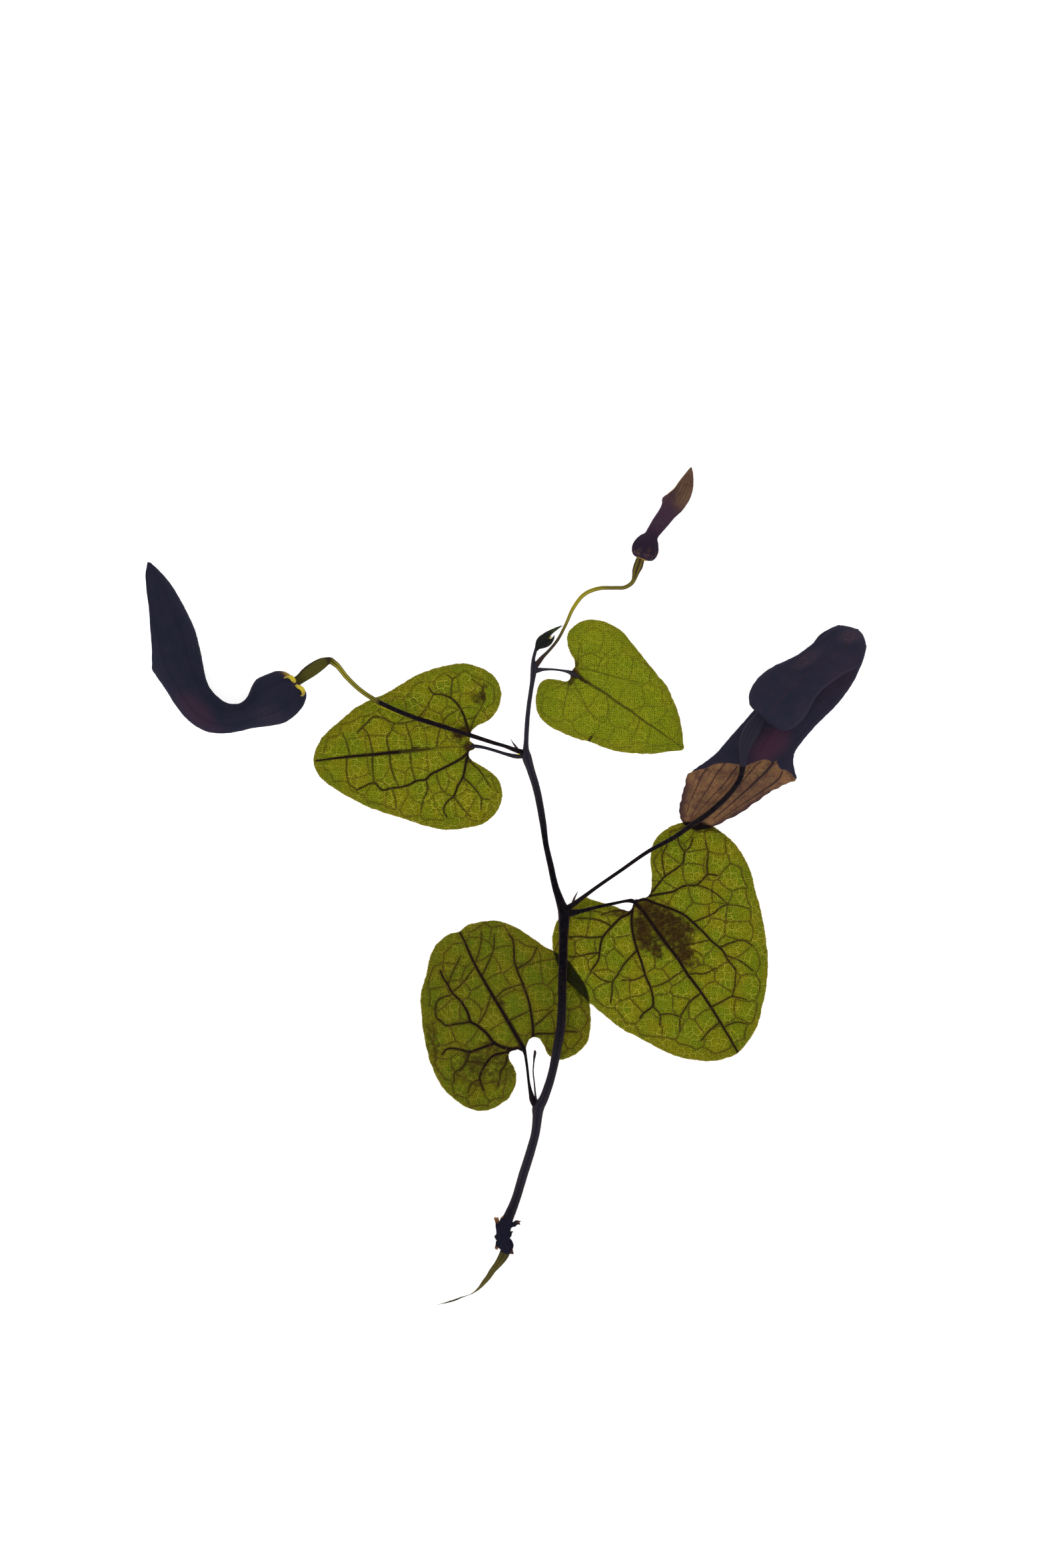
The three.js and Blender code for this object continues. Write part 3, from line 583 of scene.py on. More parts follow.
def blade_points(margin, lines, borders):
    """The points of a blade: its margin first, then rows along its veins and gleams, then an even grid."""
    rows = []
    for wide, narrow, line, *_ in lines:
        line, left = even_line(line, VEIN_STEP)
        half = np.linspace(wide, narrow, len(line))[:, None] / 2
        for reach in (0, 0.4 * half, half, half + 0.16, half + 0.45):
            rows += [line + left * reach, line - left * reach]
    for border in borders:
        line, left = even_line(border, VEIN_STEP, closed=True)
        rows += [line + left * 0.1, line - left * 0.1]
    along = np.vstack(rows)
    _, first = np.unique(np.round(along / SAME_PLACE), axis=0, return_index=True)
    along = along[np.sort(first)]
    grid = even_grid(margin, GRID)
    taken = set(map(tuple, np.floor(along / VEIN_STEP).astype(int)))
    grid = grid[[tuple(cell) not in taken for cell in np.floor(grid / VEIN_STEP).astype(int)]]
    points = np.vstack([along, grid])
    return np.vstack([margin, points[depth_inside(points, margin) > 0.1]])


# %% Paint of a blade
THIN_VEIN, THICK_VEIN = 0.3, 0.6
SEAM_WIDTH = 0.14
SHADOW_REACH = 1.2


def blade_paint(leaf, veins, points, margin):
    """What the finish reads, from 0 to 1 at each point, and the distances to a vein and to the edge."""
    count = len(points)
    paint = {key: np.zeros(count) for key in ("vein", "halo", "streak", "gleam", "stain", "overlap_shade")}
    nearest = np.full(count, 9.0)

    def near_line(line):
        box = np.all((points > line.min(0) - 1.5) & (points < line.max(0) + 1.5), axis=1).nonzero()[0]
        return box, *distance_to(points[box], line)

    def lay(key, places, values):
        paint[key][places] = np.maximum(paint[key][places], values)

    for wide, narrow, line, least_dark in veins:
        near, away, along = near_line(smooth_line(line, 0.3))
        width = wide + (narrow - wide) * along
        half = width / 2
        thick = soft_step(0.6 * wide + 0.4 * width, THIN_VEIN, THICK_VEIN)
        dark = least_dark + (leaf["most_dark"] - least_dark) * thick
        lay("vein", near, dark * (1 - soft_step(away, 0.5 * half, 1.25 * half)))
        seam = leaf["halo"] * (1 - soft_step(away, 0.6 * half, half + SEAM_WIDTH))
        lay("halo", near, (0.6 + 0.3 * dark) * seam)
        # Painted shade: a broad, soft darkening beside the thick veins, kept with the seam.
        lay("halo", near, leaf["shadow"] * dark * (1 - soft_step(away, 0.2, SHADOW_REACH)))
        light = 0.7 * leaf["halo"] * (1 - dark)
        lay("streak", near, light * (1 - soft_step(away, 0, 0.3 * half + 0.03)))
        nearest[near] = np.minimum(nearest[near], away)
    for wide, narrow, line in leaf.get("gleams", []):
        near, away, along = near_line(smooth_line(line, 0.3))
        half = (wide + (narrow - wide) * along) / 2
        lay("gleam", near, 1 - soft_step(away, 0.5 * half, 1.2 * half))
    for *oval, strength in leaf["stains"]:
        lay("stain", slice(None), strength * spot(points, *oval))
    edge, _ = distance_to(points, np.vstack([margin, margin[:1]]))
    # An olive band along the margin, the leaf's own colour, and within 0.2 mm of the edge a painted light
    # line.
    paint["rim"] = 0.6 * (1 - soft_step(edge, 0.3, 2.4)) + 0.4 * (1 - soft_step(edge, 0, 0.2))
    # Painted shade: inside the outline of each leaf below, for the light lost through both leaves.
    for border in leaf.get("over", []):
        below = smooth_line(border, 0.5, closed=True)
        lay("overlap_shade", slice(None), soft_step(depth_inside(points, below), -0.1, 0.1))
    return paint, nearest, edge


# %% Blade mesh
BLADE_THICKNESS = 0.36
BLADE_CLEARANCE = 0.06
WAVE_HEIGHT = 0.14
QUILT_HEIGHT = 0.1


def ragged_margin(outline, seed):
    """A blade's outline, counterclockwise, with the fine unevenness of a leaf's edge."""
    margin = smooth_line(outline, MARGIN_STEP, closed=True)
    following = np.roll(margin, -1, axis=0)
    if (margin[:, 0] * following[:, 1] - margin[:, 1] * following[:, 0]).sum() < 0:
        margin = margin[::-1]
    heading = np.roll(margin, -1, axis=0) - np.roll(margin, 1, axis=0)
    outward = unit(np.c_[heading[:, 1], -heading[:, 0]])
    bumps = np.random.default_rng(seed).uniform(-1, 1, len(margin))
    ragged = 0.055 * bumps + 0.05 * (np.roll(bumps, 1) + np.roll(bumps, 2) + np.roll(bumps, 3)) / 2
    return margin + outward * ragged[:, None]


def fill_outline(flat, count):
    """Triangles between points, inside the outline that the first count points make."""
    edges = [(i, (i + 1) % count) for i in range(count)]
    found = delaunay_2d_cdt([tuple(point) for point in flat], edges, [], 1, 1e-7)
    points = np.array([tuple(point) for point in found[0]])
    triangles = np.array([face[:3] for face in found[2]])
    a, b, c = points[triangles[:, 0]], points[triangles[:, 1]], points[triangles[:, 2]]
    side = (b[:, 0] - a[:, 0]) * (c[:, 1] - a[:, 1]) - (b[:, 1] - a[:, 1]) * (c[:, 0] - a[:, 0])
    return points, np.where((side > 0)[:, None], triangles, triangles[:, ::-1]), np.array(edges)


def closed_sheet(flat, top, bottom, triangles, edges, paint):
    """A plate with an upper and a lower skin, closed all round, and the same paint on both."""
    points = np.vstack([np.c_[flat, top], np.c_[flat, bottom]])
    total = len(flat)
    a, b = edges.T
    faces = [triangles, triangles[:, ::-1] + total, np.c_[b, a, a + total, b + total]]
    return points, faces, {key: np.tile(values, 2) for key, values in paint.items()}


def make_leaf(name, leaf, finish, node, seed):
    """A blade as a closed sheet, with its veins as ridges and the land between them quilted."""
    margin = ragged_margin(leaf["outline"], seed)
    faint = leaf.get("faint", [])
    drawn = leaf["veins"] + faint
    grown = small_veins(margin, drawn, seed)
    swell, dark = leaf["swell"], leaf["least_dark"]
    veins = [(swell * wide, swell * narrow, line, dark) for wide, narrow, line in leaf["veins"]]
    veins += [(*vein, leaf["grown_dark"]) for vein in faint + grown]
    flat = blade_points(margin, veins + leaf.get("gleams", []), leaf.get("over", []))
    points, triangles, edges = fill_outline(flat, len(margin))
    paint, nearest, edge = blade_paint(leaf, veins, points, margin)
    x, y = points.T
    wave = np.sin(x * 0.62 + y * 0.35 + 1) + np.sin(x * 0.31 - y * 0.58)
    wave = wave + np.sin(x * 1.1 + y * 0.9 + 2) * 0.5
    wave = (wave / 2.5 + 1) * WAVE_HEIGHT * (1 - soft_step(edge, 0, 6))
    quilt = QUILT_HEIGHT * soft_step(nearest, 0.1, 1.3) * soft_step(edge, 0, 1.5)
    middle = BLADE_CLEARANCE + BLADE_THICKNESS / 2 + blade_height(leaf, points) + wave + quilt
    half = BLADE_THICKNESS / 2 * (0.3 + 0.7 * soft_step(edge, 0, 0.8))
    ridge = (0.12 * paint["vein"] + 0.04 * paint["streak"]) * soft_step(edge, 0, 1)
    top, bottom = middle + half + ridge * 0.5, middle - half - ridge * 0.3
    sheet = closed_sheet(points, top, bottom, triangles, edges, paint)
    print(f"{name}: {len(drawn)} main veins and {len(grown)} small ones")
    add_piece(name, sheet, finish, "leaf_green", node)


# %% [markdown]
# ## Four leaves
#
# Each leaf is its outline, its veins and its stains. A vein is given as its width where it starts, its
# width where it ends, and the points that it passes. The veins spread from the place where the leaf
# stalk ends, fork, and join each other in loops before they reach the edge. A stain is an oval: its
# middle, its two reaches, its angle and its strength.
#
# Old leaves have bold, dark veins and young ones faint ones, so each leaf says how it shows them:
# `swell` widens the main veins, `least_dark` and `most_dark` are the shades of the thin and the thick
# ones, `grown_dark` is the shade of the small ones, `halo` is the strength of the brown seam along a
# vein and `shadow` that of a broad, soft painted shade beside the thick veins.
#
# Each of `lifts` is a direction in which the blade rises: its angle, how far from `middle` the rise
# begins, and how steep it is. `humps` are places where the blade passes over something, and `over` holds
# the outlines of leaves below it: inside them a dark green painted shade is laid on the blade.

# %% Lower leaf
lower_leaf = {
    "swell": 1.3, "least_dark": 0.68, "most_dark": 1.0, "grown_dark": 0.25, "halo": 1.0, "shadow": 0.4,
    "middle": (0, -24),
    "lifts": [(175, 10, 0.035), (117, 11, 0.03), (265, 12, 0.03)],
    "outline": [
        (-8.6, -8.6), (-7, -7.3), (-4.5, -6.7), (-1.4, -6.6), (1.25, -7.4), (4.4, -9.2), (7, -11.1),
        (9.1, -12.2), (11.6, -13.7), (13.6, -16.3), (15.3, -19.1), (16, -23), (15.9, -27.7), (15, -30),
        (12.5, -32), (10.2, -32.6), (8.2, -31.7), (7.2, -29.9), (6.4, -28.7), (5.5, -28.35), (4.5, -28.9),
        (4.05, -30), (3.9, -30.8), (3.3, -31), (2.15, -30.75), (0.95, -31.2), (0.8, -32.5), (1.6, -33.8),
        (2.2, -35.7), (1.7, -38.2), (0, -40.4), (-3.05, -42), (-6.15, -41.9), (-9.7, -39.8),
        (-12.1, -37.2), (-13.9, -33.3), (-15.1, -28.5), (-15.7, -23.5), (-15.7, -20), (-14.7, -16.5),
        (-14, -13.2), (-12.6, -10.7), (-10.4, -9),
    ],
    "veins": [
        (0.8, 0.26, [(3.6, -30.6), (0.06, -24.5), (-3.5, -18.5), (-5.9, -14.2), (-7.8, -9.9),
         (-8.4, -8.8)]),
        (0.65, 0.24, [(3.4, -30.6), (0.5, -30.5), (-1.9, -29.5), (-3.5, -27.6), (-5.2, -26.2),
         (-6.4, -25.5), (-6.9, -24), (-7.35, -23.1), (-8.3, -21.6), (-9.9, -20), (-10.7, -18.5),
         (-11.65, -17.1), (-12.1, -15.9)]),
        (0.36, 0.2, [(-6.4, -25.5), (-9.5, -26), (-11, -26.2), (-12.1, -25.3), (-12.8, -24.7),
         (-13, -22.8), (-12.5, -21.4), (-10, -20.4)]),
        (0.5, 0.24, [(-1.9, -29.5), (-4.7, -30.5), (-6.6, -31.1), (-8.8, -30.6), (-10.9, -30.6),
         (-11.8, -31.7)]),
        (0.34, 0.2, [(-6.6, -31.1), (-7.1, -32.6), (-8.1, -34.3), (-9.4, -35), (-9.6, -36.9)]),
        (0.5, 0.24, [(2.2, -30.8), (0.3, -31.2), (-2.3, -31.9), (-3.5, -33.3), (-4.5, -35), (-4.7, -36.2),
         (-4, -38.4)]),
        (0.26, 0.16, [(-4.7, -36.2), (-6.4, -37.2), (-6.9, -38.8)]),
        (0.34, 0.18, [(0.5, -32), (0.06, -33.6), (-0.8, -34.8), (-1, -36.4), (-1.3, -37.6)]),
        (0.45, 0.22, [(4.2, -29.9), (5.2, -28.2), (4.8, -23.2), (4.4, -21.4), (3.4, -18.5), (2.45, -16.2),
         (1.75, -14), (1.7, -12.5), (1.5, -10.3), (0.8, -9.1)]),
        (0.3, 0.18, [(2.4, -15.5), (4.8, -13.9), (5.9, -11.8)]),
        (0.24, 0.14, [(-4.4, -17.1), (-2.8, -13.75), (-2.1, -11.8), (-2, -9.2)]),
        (0.22, 0.14, [(-5.6, -14.7), (-4.5, -10.9), (-4.4, -8.7)]),
        (0.36, 0.2, [(5.2, -28.2), (5.85, -27.8), (9, -27.7), (11.2, -27.3), (13.6, -27.4)]),
        (0.3, 0.18, [(5.1, -26.4), (6, -25.9), (7.6, -24.5), (8.9, -23.3)]),
        (0.24, 0.15, [(0.6, -25.4), (2.2, -24.6), (4.6, -23.4)]),
        (0.22, 0.14, [(-1.9, -21.2), (-0.2, -19.6), (3.2, -18.4)]),
        (0.22, 0.14, [(-5.2, -26.2), (-3.6, -23.6), (-2.6, -20.4)]),
        (0.22, 0.14, [(-9.9, -20), (-7.9, -18.2), (-5.6, -15.2)]),
        (0.22, 0.14, [(-3.5, -33.3), (-5.6, -33), (-7.3, -32.9)]),
        (0.22, 0.14, [(-10.7, -18.5), (-9.6, -15.8), (-8.3, -13.2)]),
    ],
    "stains": [
        (-2.6, -30.2, 2.6, 1.4, -15, 0.72), (-5.3, -33, 2.3, 1.3, 40, 0.5),
        (-0.5, -22.2, 1.4, 0.8, -60, 0.6), (2.9, -30.6, 1.6, 0.9, 0, 1),
        (-7.4, -31.6, 1.6, 1.1, 20, 0.6), (-4, -34, 8, 5, 0, 0.47), (-13.6, -29, 2, 6, 8, 0.4),
        (1.4, -26.8, 4.2, 0.9, -60, 0.55),
    ],
}
make_leaf("lower_leaf", lower_leaf, low_leaf, "lower_leaf_blade", 1)

# %% Right leaf
right_leaf = {
    "swell": 1.2, "least_dark": 0.74, "most_dark": 1.0, "grown_dark": 0.25, "halo": 1.0, "shadow": 0.25,
    "middle": (30, -10),
    "lifts": [(5, 13, 0.04), (-72, 17, 0.03)],
    "humps": [(12.3, -17, 14, 1.4)],
    "over": [lower_leaf["outline"]],
    "outline": [
        (24.4, -2.6), (25.3, -2.4), (26.6, -2.1), (27.3, -1.2), (27.5, 1.8), (27.3, 5.2), (27.9, 8.1),
        (29.8, 10.3), (32.6, 11.7), (35, 12.1), (37.5, 11.8), (40.2, 10.4), (42.8, 8.2), (44.9, 5.2),
        (46.2, 2.4), (46.8, -0.4), (47.9, -4.4), (48.8, -9.2), (49.3, -14.6), (48.9, -19.4), (48.1, -23.2),
        (47.4, -25.9), (46, -28.6), (44.4, -30.6), (43.5, -31.4), (41, -32.4), (38.4, -32.8),
        (33.9, -32.4), (30, -31.1), (26.1, -29), (21.9, -26.8), (18.8, -24.4), (15.7, -21.7), (13, -19.1),
        (11.7, -17.9), (10.4, -15.7), (9.2, -12.6), (8.85, -10.2), (9.3, -7.6), (10.4, -5.6), (12, -4.1),
        (13.4, -3.1), (15.1, -2.2), (17.2, -2.9), (20.1, -3.7), (22.2, -4.5), (23.3, -4.7), (23.9, -3.9),
        (24.1, -3.2),
    ],
    "veins": [
        (0.75, 0.3, [(24.2, -3), (25.6, -4.4), (27.7, -7.3), (30, -10.5), (32.4, -13.6), (34.2, -16.5),
         (36.3, -19.3), (38.6, -22.7), (40.7, -26.1), (42.55, -29.25), (43.6, -31.1)]),
        (0.5, 0.28, [(24, -3.4), (23.9, -4.7), (23.75, -6.8), (24.1, -9.4), (24.8, -12), (25.7, -14.6),
         (26.4, -17), (27.3, -19.1), (27.7, -20.6), (27.7, -22.5), (26.1, -23.8), (25.3, -24.8)]),
        (0.26, 0.16, [(27.7, -22.5), (29.1, -24.2), (29, -26.1)]),
        (0.36, 0.2, [(24.7, -12.2), (23.2, -13.7), (22.2, -14.9), (21.1, -16.7), (20.2, -18),
         (20.1, -19.9), (19.8, -21.9)]),
        (0.5, 0.24, [(24, -3.6), (23.5, -5), (21.7, -6), (20.1, -7.6), (18.5, -9.4), (18, -10.7),
         (17.75, -12.3), (17.5, -13.85), (16, -16.1)]),
        (0.3, 0.18, [(18.4, -9.5), (15.9, -9.7), (13.8, -9.5), (12.3, -9.6), (10.4, -10.2)]),
        (0.3, 0.18, [(17.7, -12.5), (15.9, -12.7), (13.8, -13.2), (11.7, -13.3)]),
        (0.3, 0.18, [(20.1, -7.6), (18.3, -6.7), (17, -6.3), (15.1, -6.1), (13.6, -6.1)]),
        (0.36, 0.2, [(23.7, -4.9), (21.7, -4.6), (20.1, -4.8), (18, -5.4)]),
        (0.55, 0.24, [(24.3, -2.9), (26.5, -2.6), (27.7, -3.1), (30, -3.9), (32.1, -4.7), (33.7, -5.5),
         (35.2, -6.8), (37.1, -8.6), (38.9, -10.5), (40.7, -12), (41.8, -13.9), (43.3, -15.7)]),
        (0.3, 0.18, [(35.2, -6.8), (37.6, -5.9), (39.4, -5), (40.2, -4.2), (42, -3.4)]),
        (0.3, 0.18, [(40.2, -11.6), (42.6, -10.6), (44.6, -10.2), (46.4, -11.2)]),
        (0.45, 0.22, [(24.6, -2.6), (25.8, -2.2), (27.7, -1.8), (29.5, -1.45), (31.6, -1.05), (32.9, -0.3),
         (34.2, 0.1), (35.8, 0.1), (37.1, 1.2), (38, 2.1), (39.9, 1.95)]),
        (0.3, 0.18, [(38, 2.1), (37.9, 4.2), (38.1, 6), (37.6, 8.4)]),
        (0.4, 0.2, [(26.4, -2.2), (27.9, -0.8), (28.7, 0.25), (30, 1.8), (31.8, 3), (33.4, 4.4),
         (33.7, 6.3), (34.7, 7.3), (35.2, 8.9)]),
        (0.24, 0.15, [(33.7, 6.3), (32.6, 8.1), (32.4, 9.8)]),
        (0.24, 0.15, [(30, 1.8), (29.6, 4.2), (29.5, 5.7), (30.4, 7.6)]),
        (0.24, 0.15, [(34.3, -16.7), (35.6, -16.4), (37.3, -16.5), (39.6, -15.4)]),
        (0.3, 0.16, [(38.6, -22.7), (40.7, -21.7), (42.6, -20.8), (45.2, -21.3)]),
        (0.24, 0.14, [(42.6, -20.8), (43.1, -18.8), (43.3, -15.7)]),
        (0.3, 0.16, [(40.3, -25.5), (38.1, -27.4), (36.8, -29)]),
        (0.34, 0.18, [(36.8, -20.1), (34.7, -21.7), (33.7, -23.2), (32.9, -24.6), (32.8, -27.2)]),
        (0.24, 0.14, [(33.7, -15.7), (31.5, -17.2), (29.5, -18.4), (27.2, -19)]),
        (0.22, 0.14, [(31, -11.8), (33.5, -11.2), (36.4, -10.6), (38.4, -10.1)]),
        (0.22, 0.14, [(26.3, -16.7), (24.3, -17.6), (22, -17.7)]),
        (0.22, 0.14, [(20.2, -18), (18.2, -17.6), (16.6, -16.3)]),
        (0.22, 0.14, [(41.3, -13), (44, -14), (46.6, -16)]),
        (0.22, 0.14, [(35.9, 0.2), (38.6, -0.8), (41.6, -3.2)]),
        (0.22, 0.14, [(41, -26.5), (43.2, -25.6), (45.2, -25.8)]),
        (0.22, 0.14, [(29, -24.2), (31, -24), (32.9, -24.6)]),
    ],
    "stains": [
        (26, -8.4, 5.6, 2.6, -80, 1), (30.4, -7.6, 7, 3.8, -42, 1), (33.4, -12.4, 4.2, 2.4, -60, 0.95),
        (28.5, -12.2, 2.6, 1.4, -75, 0.85), (26.6, -4.6, 3.4, 2.4, -30, 1),
        (35.9, -14.4, 1.5, 0.9, -60, 0.6), (21.4, -5.2, 2.2, 1, 10, 0.7), (36.8, 11.2, 3.6, 1.6, -12, 0.6),
        (33, -8.6, 3, 2.4, -50, 0.8), (28.2, -9.8, 2, 1.6, -50, 0.8), (33.8, -7.6, 2.6, 1.7, -40, 0.8),
    ],
}
make_leaf("right_leaf", right_leaf, grown_leaf, "right_leaf_blade", 2)

# %% Left leaf
left_leaf = {
    "swell": 1.2, "least_dark": 0.55, "most_dark": 1.0, "grown_dark": 0.12, "halo": 0.75, "shadow": 0.06,
    "middle": (-15, 26),
    "lifts": [(185, 13, 0.025), (70, 12, 0.03), (-60, 12, 0.03)],
    "outline": [
        (-35.9, 23.4), (-35.6, 24.9), (-34.7, 27.1), (-33.1, 29.1), (-30.7, 31.1), (-28, 33.4),
        (-25.3, 34.8), (-22.4, 36.1), (-19.2, 37.95), (-16, 39.8), (-12.3, 41), (-8, 41.7), (-4.5, 40.9),
        (-1.8, 39), (-0.67, 36.1), (-1.3, 33.2), (-3.1, 31), (-5.4, 29.9), (-6.4, 28.7), (-6.5, 27.2),
        (-5.8, 26.5), (-5.7, 25.8), (-6.7, 25.2), (-6.6, 24), (-5.6, 23.2), (-2.9, 21.5), (-1.2, 19.9),
        (-0.5, 17.2), (-1.3, 14.3), (-4, 11.7), (-7.7, 10.8), (-11.5, 10.5), (-16, 11.6), (-20, 12.9),
        (-23.7, 14.05), (-26.7, 15.3), (-30.9, 17.6), (-33.8, 19.6), (-35.3, 21.4),
    ],
    "veins": [
        (0.14, 0.8, [(-13, 25.8), (-15, 25.6), (-16.8, 25.4), (-20, 25.1)]),
        (0.75, 0.28, [(-20, 25.1), (-24, 24.7), (-28, 24.35), (-32, 23.9), (-35.4, 23.45)]),
        (0.5, 0.26, [(-6.2, 25.4), (-7.2, 24.7), (-8, 24), (-10.1, 22.8), (-12.3, 21.7), (-13.9, 20.9),
         (-14.8, 20), (-16.5, 19.7), (-18.1, 18.9), (-19.7, 18.5), (-21.3, 18.3), (-23.1, 18),
         (-24.5, 19.3), (-26.7, 18.5), (-27.7, 18)]),
        (0.34, 0.2, [(-14.8, 20), (-14.5, 18), (-15.2, 16.4), (-15.7, 14.5)]),
        (0.5, 0.24, [(-6.3, 25.2), (-7.1, 23.9), (-7.5, 22), (-7.9, 20.3), (-8.8, 18.8), (-9.6, 16.8),
         (-10.7, 15.9), (-11.5, 14.3), (-10.9, 12.9)]),
        (0.3, 0.18, [(-9.6, 16.8), (-8.5, 15.3), (-7.2, 13.7), (-6.4, 12.9)]),
        (0.36, 0.2, [(-7.9, 20.3), (-6.4, 19.1), (-5.1, 17.5), (-4.4, 16.3), (-4.5, 14.3)]),
        (0.24, 0.16, [(-4.4, 16.3), (-2.9, 16.2)]),
        (0.34, 0.18, [(-6.5, 24.6), (-6.4, 23.3), (-4.8, 21.7), (-3.7, 20.1), (-2.7, 18.5)]),
        (0.5, 0.24, [(-5.9, 26.6), (-6.5, 28.4), (-7.2, 30.3), (-7.7, 31.9), (-8.5, 33.5), (-9.6, 34.8),
         (-10.7, 35.5), (-12, 35.9), (-13.3, 36), (-14.3, 37.2)]),
        (0.3, 0.18, [(-10.1, 35.4), (-10, 37.5), (-9.9, 38.7), (-10.8, 39.6)]),
        (0.22, 0.14, [(-9.9, 38.7), (-8.5, 39.6)]),
        (0.3, 0.16, [(-6.4, 29.5), (-5.6, 31.6), (-4.5, 33.2)]),
        (0.24, 0.14, [(-7.4, 31.2), (-5.6, 31.6)]),
        (0.34, 0.18, [(-27.6, 28.9), (-25.9, 30.5), (-24.8, 31.6), (-22.9, 31.5), (-20.8, 30.5),
         (-18.7, 30.6), (-16.5, 31.1)]),
        (0.3, 0.18, [(-21.7, 25.2), (-22.1, 27.9), (-21.2, 29.2), (-20.8, 30.5)]),
        (0.3, 0.18, [(-24.8, 24.7), (-25.2, 26.8), (-25.6, 28.4), (-26.7, 29.7)]),
        (0.34, 0.2, [(-24.8, 24.7), (-24.8, 22), (-24.5, 19.3)]),
        (0.34, 0.2, [(-21.6, 24.8), (-21.3, 22), (-20, 18.6)]),
        (0.3, 0.18, [(-17.8, 25.2), (-17.5, 22.3), (-16.8, 19.6)]),
        (0.26, 0.16, [(-29.6, 24), (-29.7, 21.5), (-29.3, 19.3), (-27.7, 18)]),
        (0.24, 0.14, [(-17.2, 25.4), (-17.7, 27.6), (-18.7, 30.6)]),
        (0.24, 0.14, [(-12.8, 26), (-12.4, 28.6), (-11, 31.6), (-8.3, 33.2)]),
        (0.22, 0.14, [(-29, 24.3), (-29.6, 26.6), (-30.4, 28.6)]),
        (0.22, 0.14, [(-12.9, 21.4), (-12.4, 19.2), (-11.2, 17.4), (-9.7, 16.8)]),
        (0.22, 0.14, [(-21.3, 18.3), (-20.6, 16.6), (-20.4, 14.6)]),
        (0.22, 0.14, [(-4.5, 33.2), (-3.9, 35), (-4.3, 37.2), (-6.2, 38.8)]),
        (0.22, 0.14, [(-16.5, 31.1), (-14.8, 33.4), (-13.4, 35.9)]),
    ],
    "faint": [
        (0.36, 0.3, [(-5.9, 26.15), (-9.3, 26.1), (-11.3, 25.95), (-13.3, 25.78)]),
    ],
    "gleams": [
        (0.34, 0.22, [(-23, 33.5), (-22, 33.1), (-20.9, 32.7), (-19.6, 32.15), (-18.6, 31.85)]),
    ],
    "stains": [
        (-4.9, 35.3, 1.9, 1.5, 20, 0.8), (-8.4, 28.6, 2.6, 1.6, 30, 0.75), (-6.6, 26, 1.5, 1.3, 0, 1),
        (-6.9, 23.6, 1.3, 0.8, 50, 0.7), (-16, 25.6, 3, 0.9, 0, 0.55), (-3.7, 37.4, 1.2, 0.8, 60, 0.55),
    ],
}
make_leaf("left_leaf", left_leaf, grown_leaf, "left_leaf_blade", 3)

# %% Upper leaf
upper_leaf = {
    "swell": 0.9, "least_dark": 0.28, "most_dark": 0.6, "grown_dark": 0.0, "halo": 0.5, "shadow": 0.0,
    "middle": (20, 36),
    "lifts": [(-37, 9, 0.03), (107, 9, 0.03), (197, 9, 0.03)],
    "outline": [
        (12.6, 40.3), (13.15, 41.2), (13.1, 42.2), (12.3, 43.6), (11.7, 45.6), (11.8, 47.2), (13, 48.8),
        (15.2, 49.85), (17.4, 49.8), (19.8, 49.05), (21.8, 47.9), (23.6, 45.8), (26, 42.8), (28.2, 40),
        (30.2, 37.6), (31.6, 34.8), (32.7, 31.8), (33.2, 28.8), (33.4, 26.9), (33.55, 25.9), (33.2, 25.5),
        (31, 25.25), (28.4, 24.8), (25.4, 24.8), (22, 25.1), (19, 25.8), (16, 27), (13.8, 27.5),
        (11.2, 28.5), (8.4, 29.9), (6.6, 31.6), (5.85, 33.7), (5.9, 36), (6.5, 37.8), (7.8, 38.74),
        (9.8, 38.6), (11.6, 38.3), (12.25, 38.9), (12.3, 39.7),
    ],
    "veins": [
        (0.75, 0.2, [(12.4, 39.9), (13.6, 39.2), (15.2, 38.3), (17, 37.2), (19, 36), (20.4, 34.9),
         (22, 33.8), (23.6, 32.8), (25.2, 31.6), (26.8, 30.4), (28.4, 29.4), (30, 28.2), (31.8, 27),
         (33, 26.05)]),
        (0.36, 0.12, [(12.7, 40.1), (13.2, 40.6), (15.2, 40.56), (17.2, 40.2), (19.2, 39.6), (21, 39.1),
         (23, 38.6), (25.2, 38.2)]),
        (0.34, 0.12, [(12.9, 40.5), (13.6, 41.2), (13.7, 42.4), (13.8, 44), (14.5, 46.2)]),
        (0.36, 0.12, [(12.5, 39.6), (12.8, 38.8), (13.4, 37.2), (14.6, 35), (15.4, 33.2), (16, 32.4),
         (17.4, 31.2)]),
        (0.34, 0.12, [(12.3, 39.2), (12, 38.2), (11.7, 36.2), (11.2, 34.2), (11, 32.8)]),
        (0.24, 0.1, [(12.2, 38.8), (10.6, 37.6), (9, 36.8)]),
        (0.14, 0.1, [(19, 36), (19.4, 33.4), (18.6, 30.6), (17.4, 31.2)]),
        (0.14, 0.1, [(23.6, 32.8), (25.8, 33.6), (28.2, 33.6)]),
        (0.14, 0.1, [(17.2, 40.2), (18.2, 42.6), (20.2, 44.4)]),
        (0.14, 0.1, [(25.2, 31.6), (24.8, 29.4), (23.4, 27.2)]),
        (0.14, 0.1, [(13.7, 42.6), (16, 43.6), (18.2, 42.6)]),
        (0.5, 0.2, [(15.6, 26.9), (16.1, 27.6), (16.8, 28.6)]),
    ],
    "stains": [
        (12.8, 39.9, 2, 1.3, -30, 1), (14.6, 38.7, 2.2, 0.7, -32, 0.7), (13.3, 41.3, 1.5, 0.7, 80, 0.6),
        (12.4, 38.4, 1.4, 0.6, 75, 0.65), (16, 27.6, 1, 0.25, 60, 1),
    ],
}
make_leaf("upper_leaf", upper_leaf, light_leaf, "upper_leaf_blade", 4)

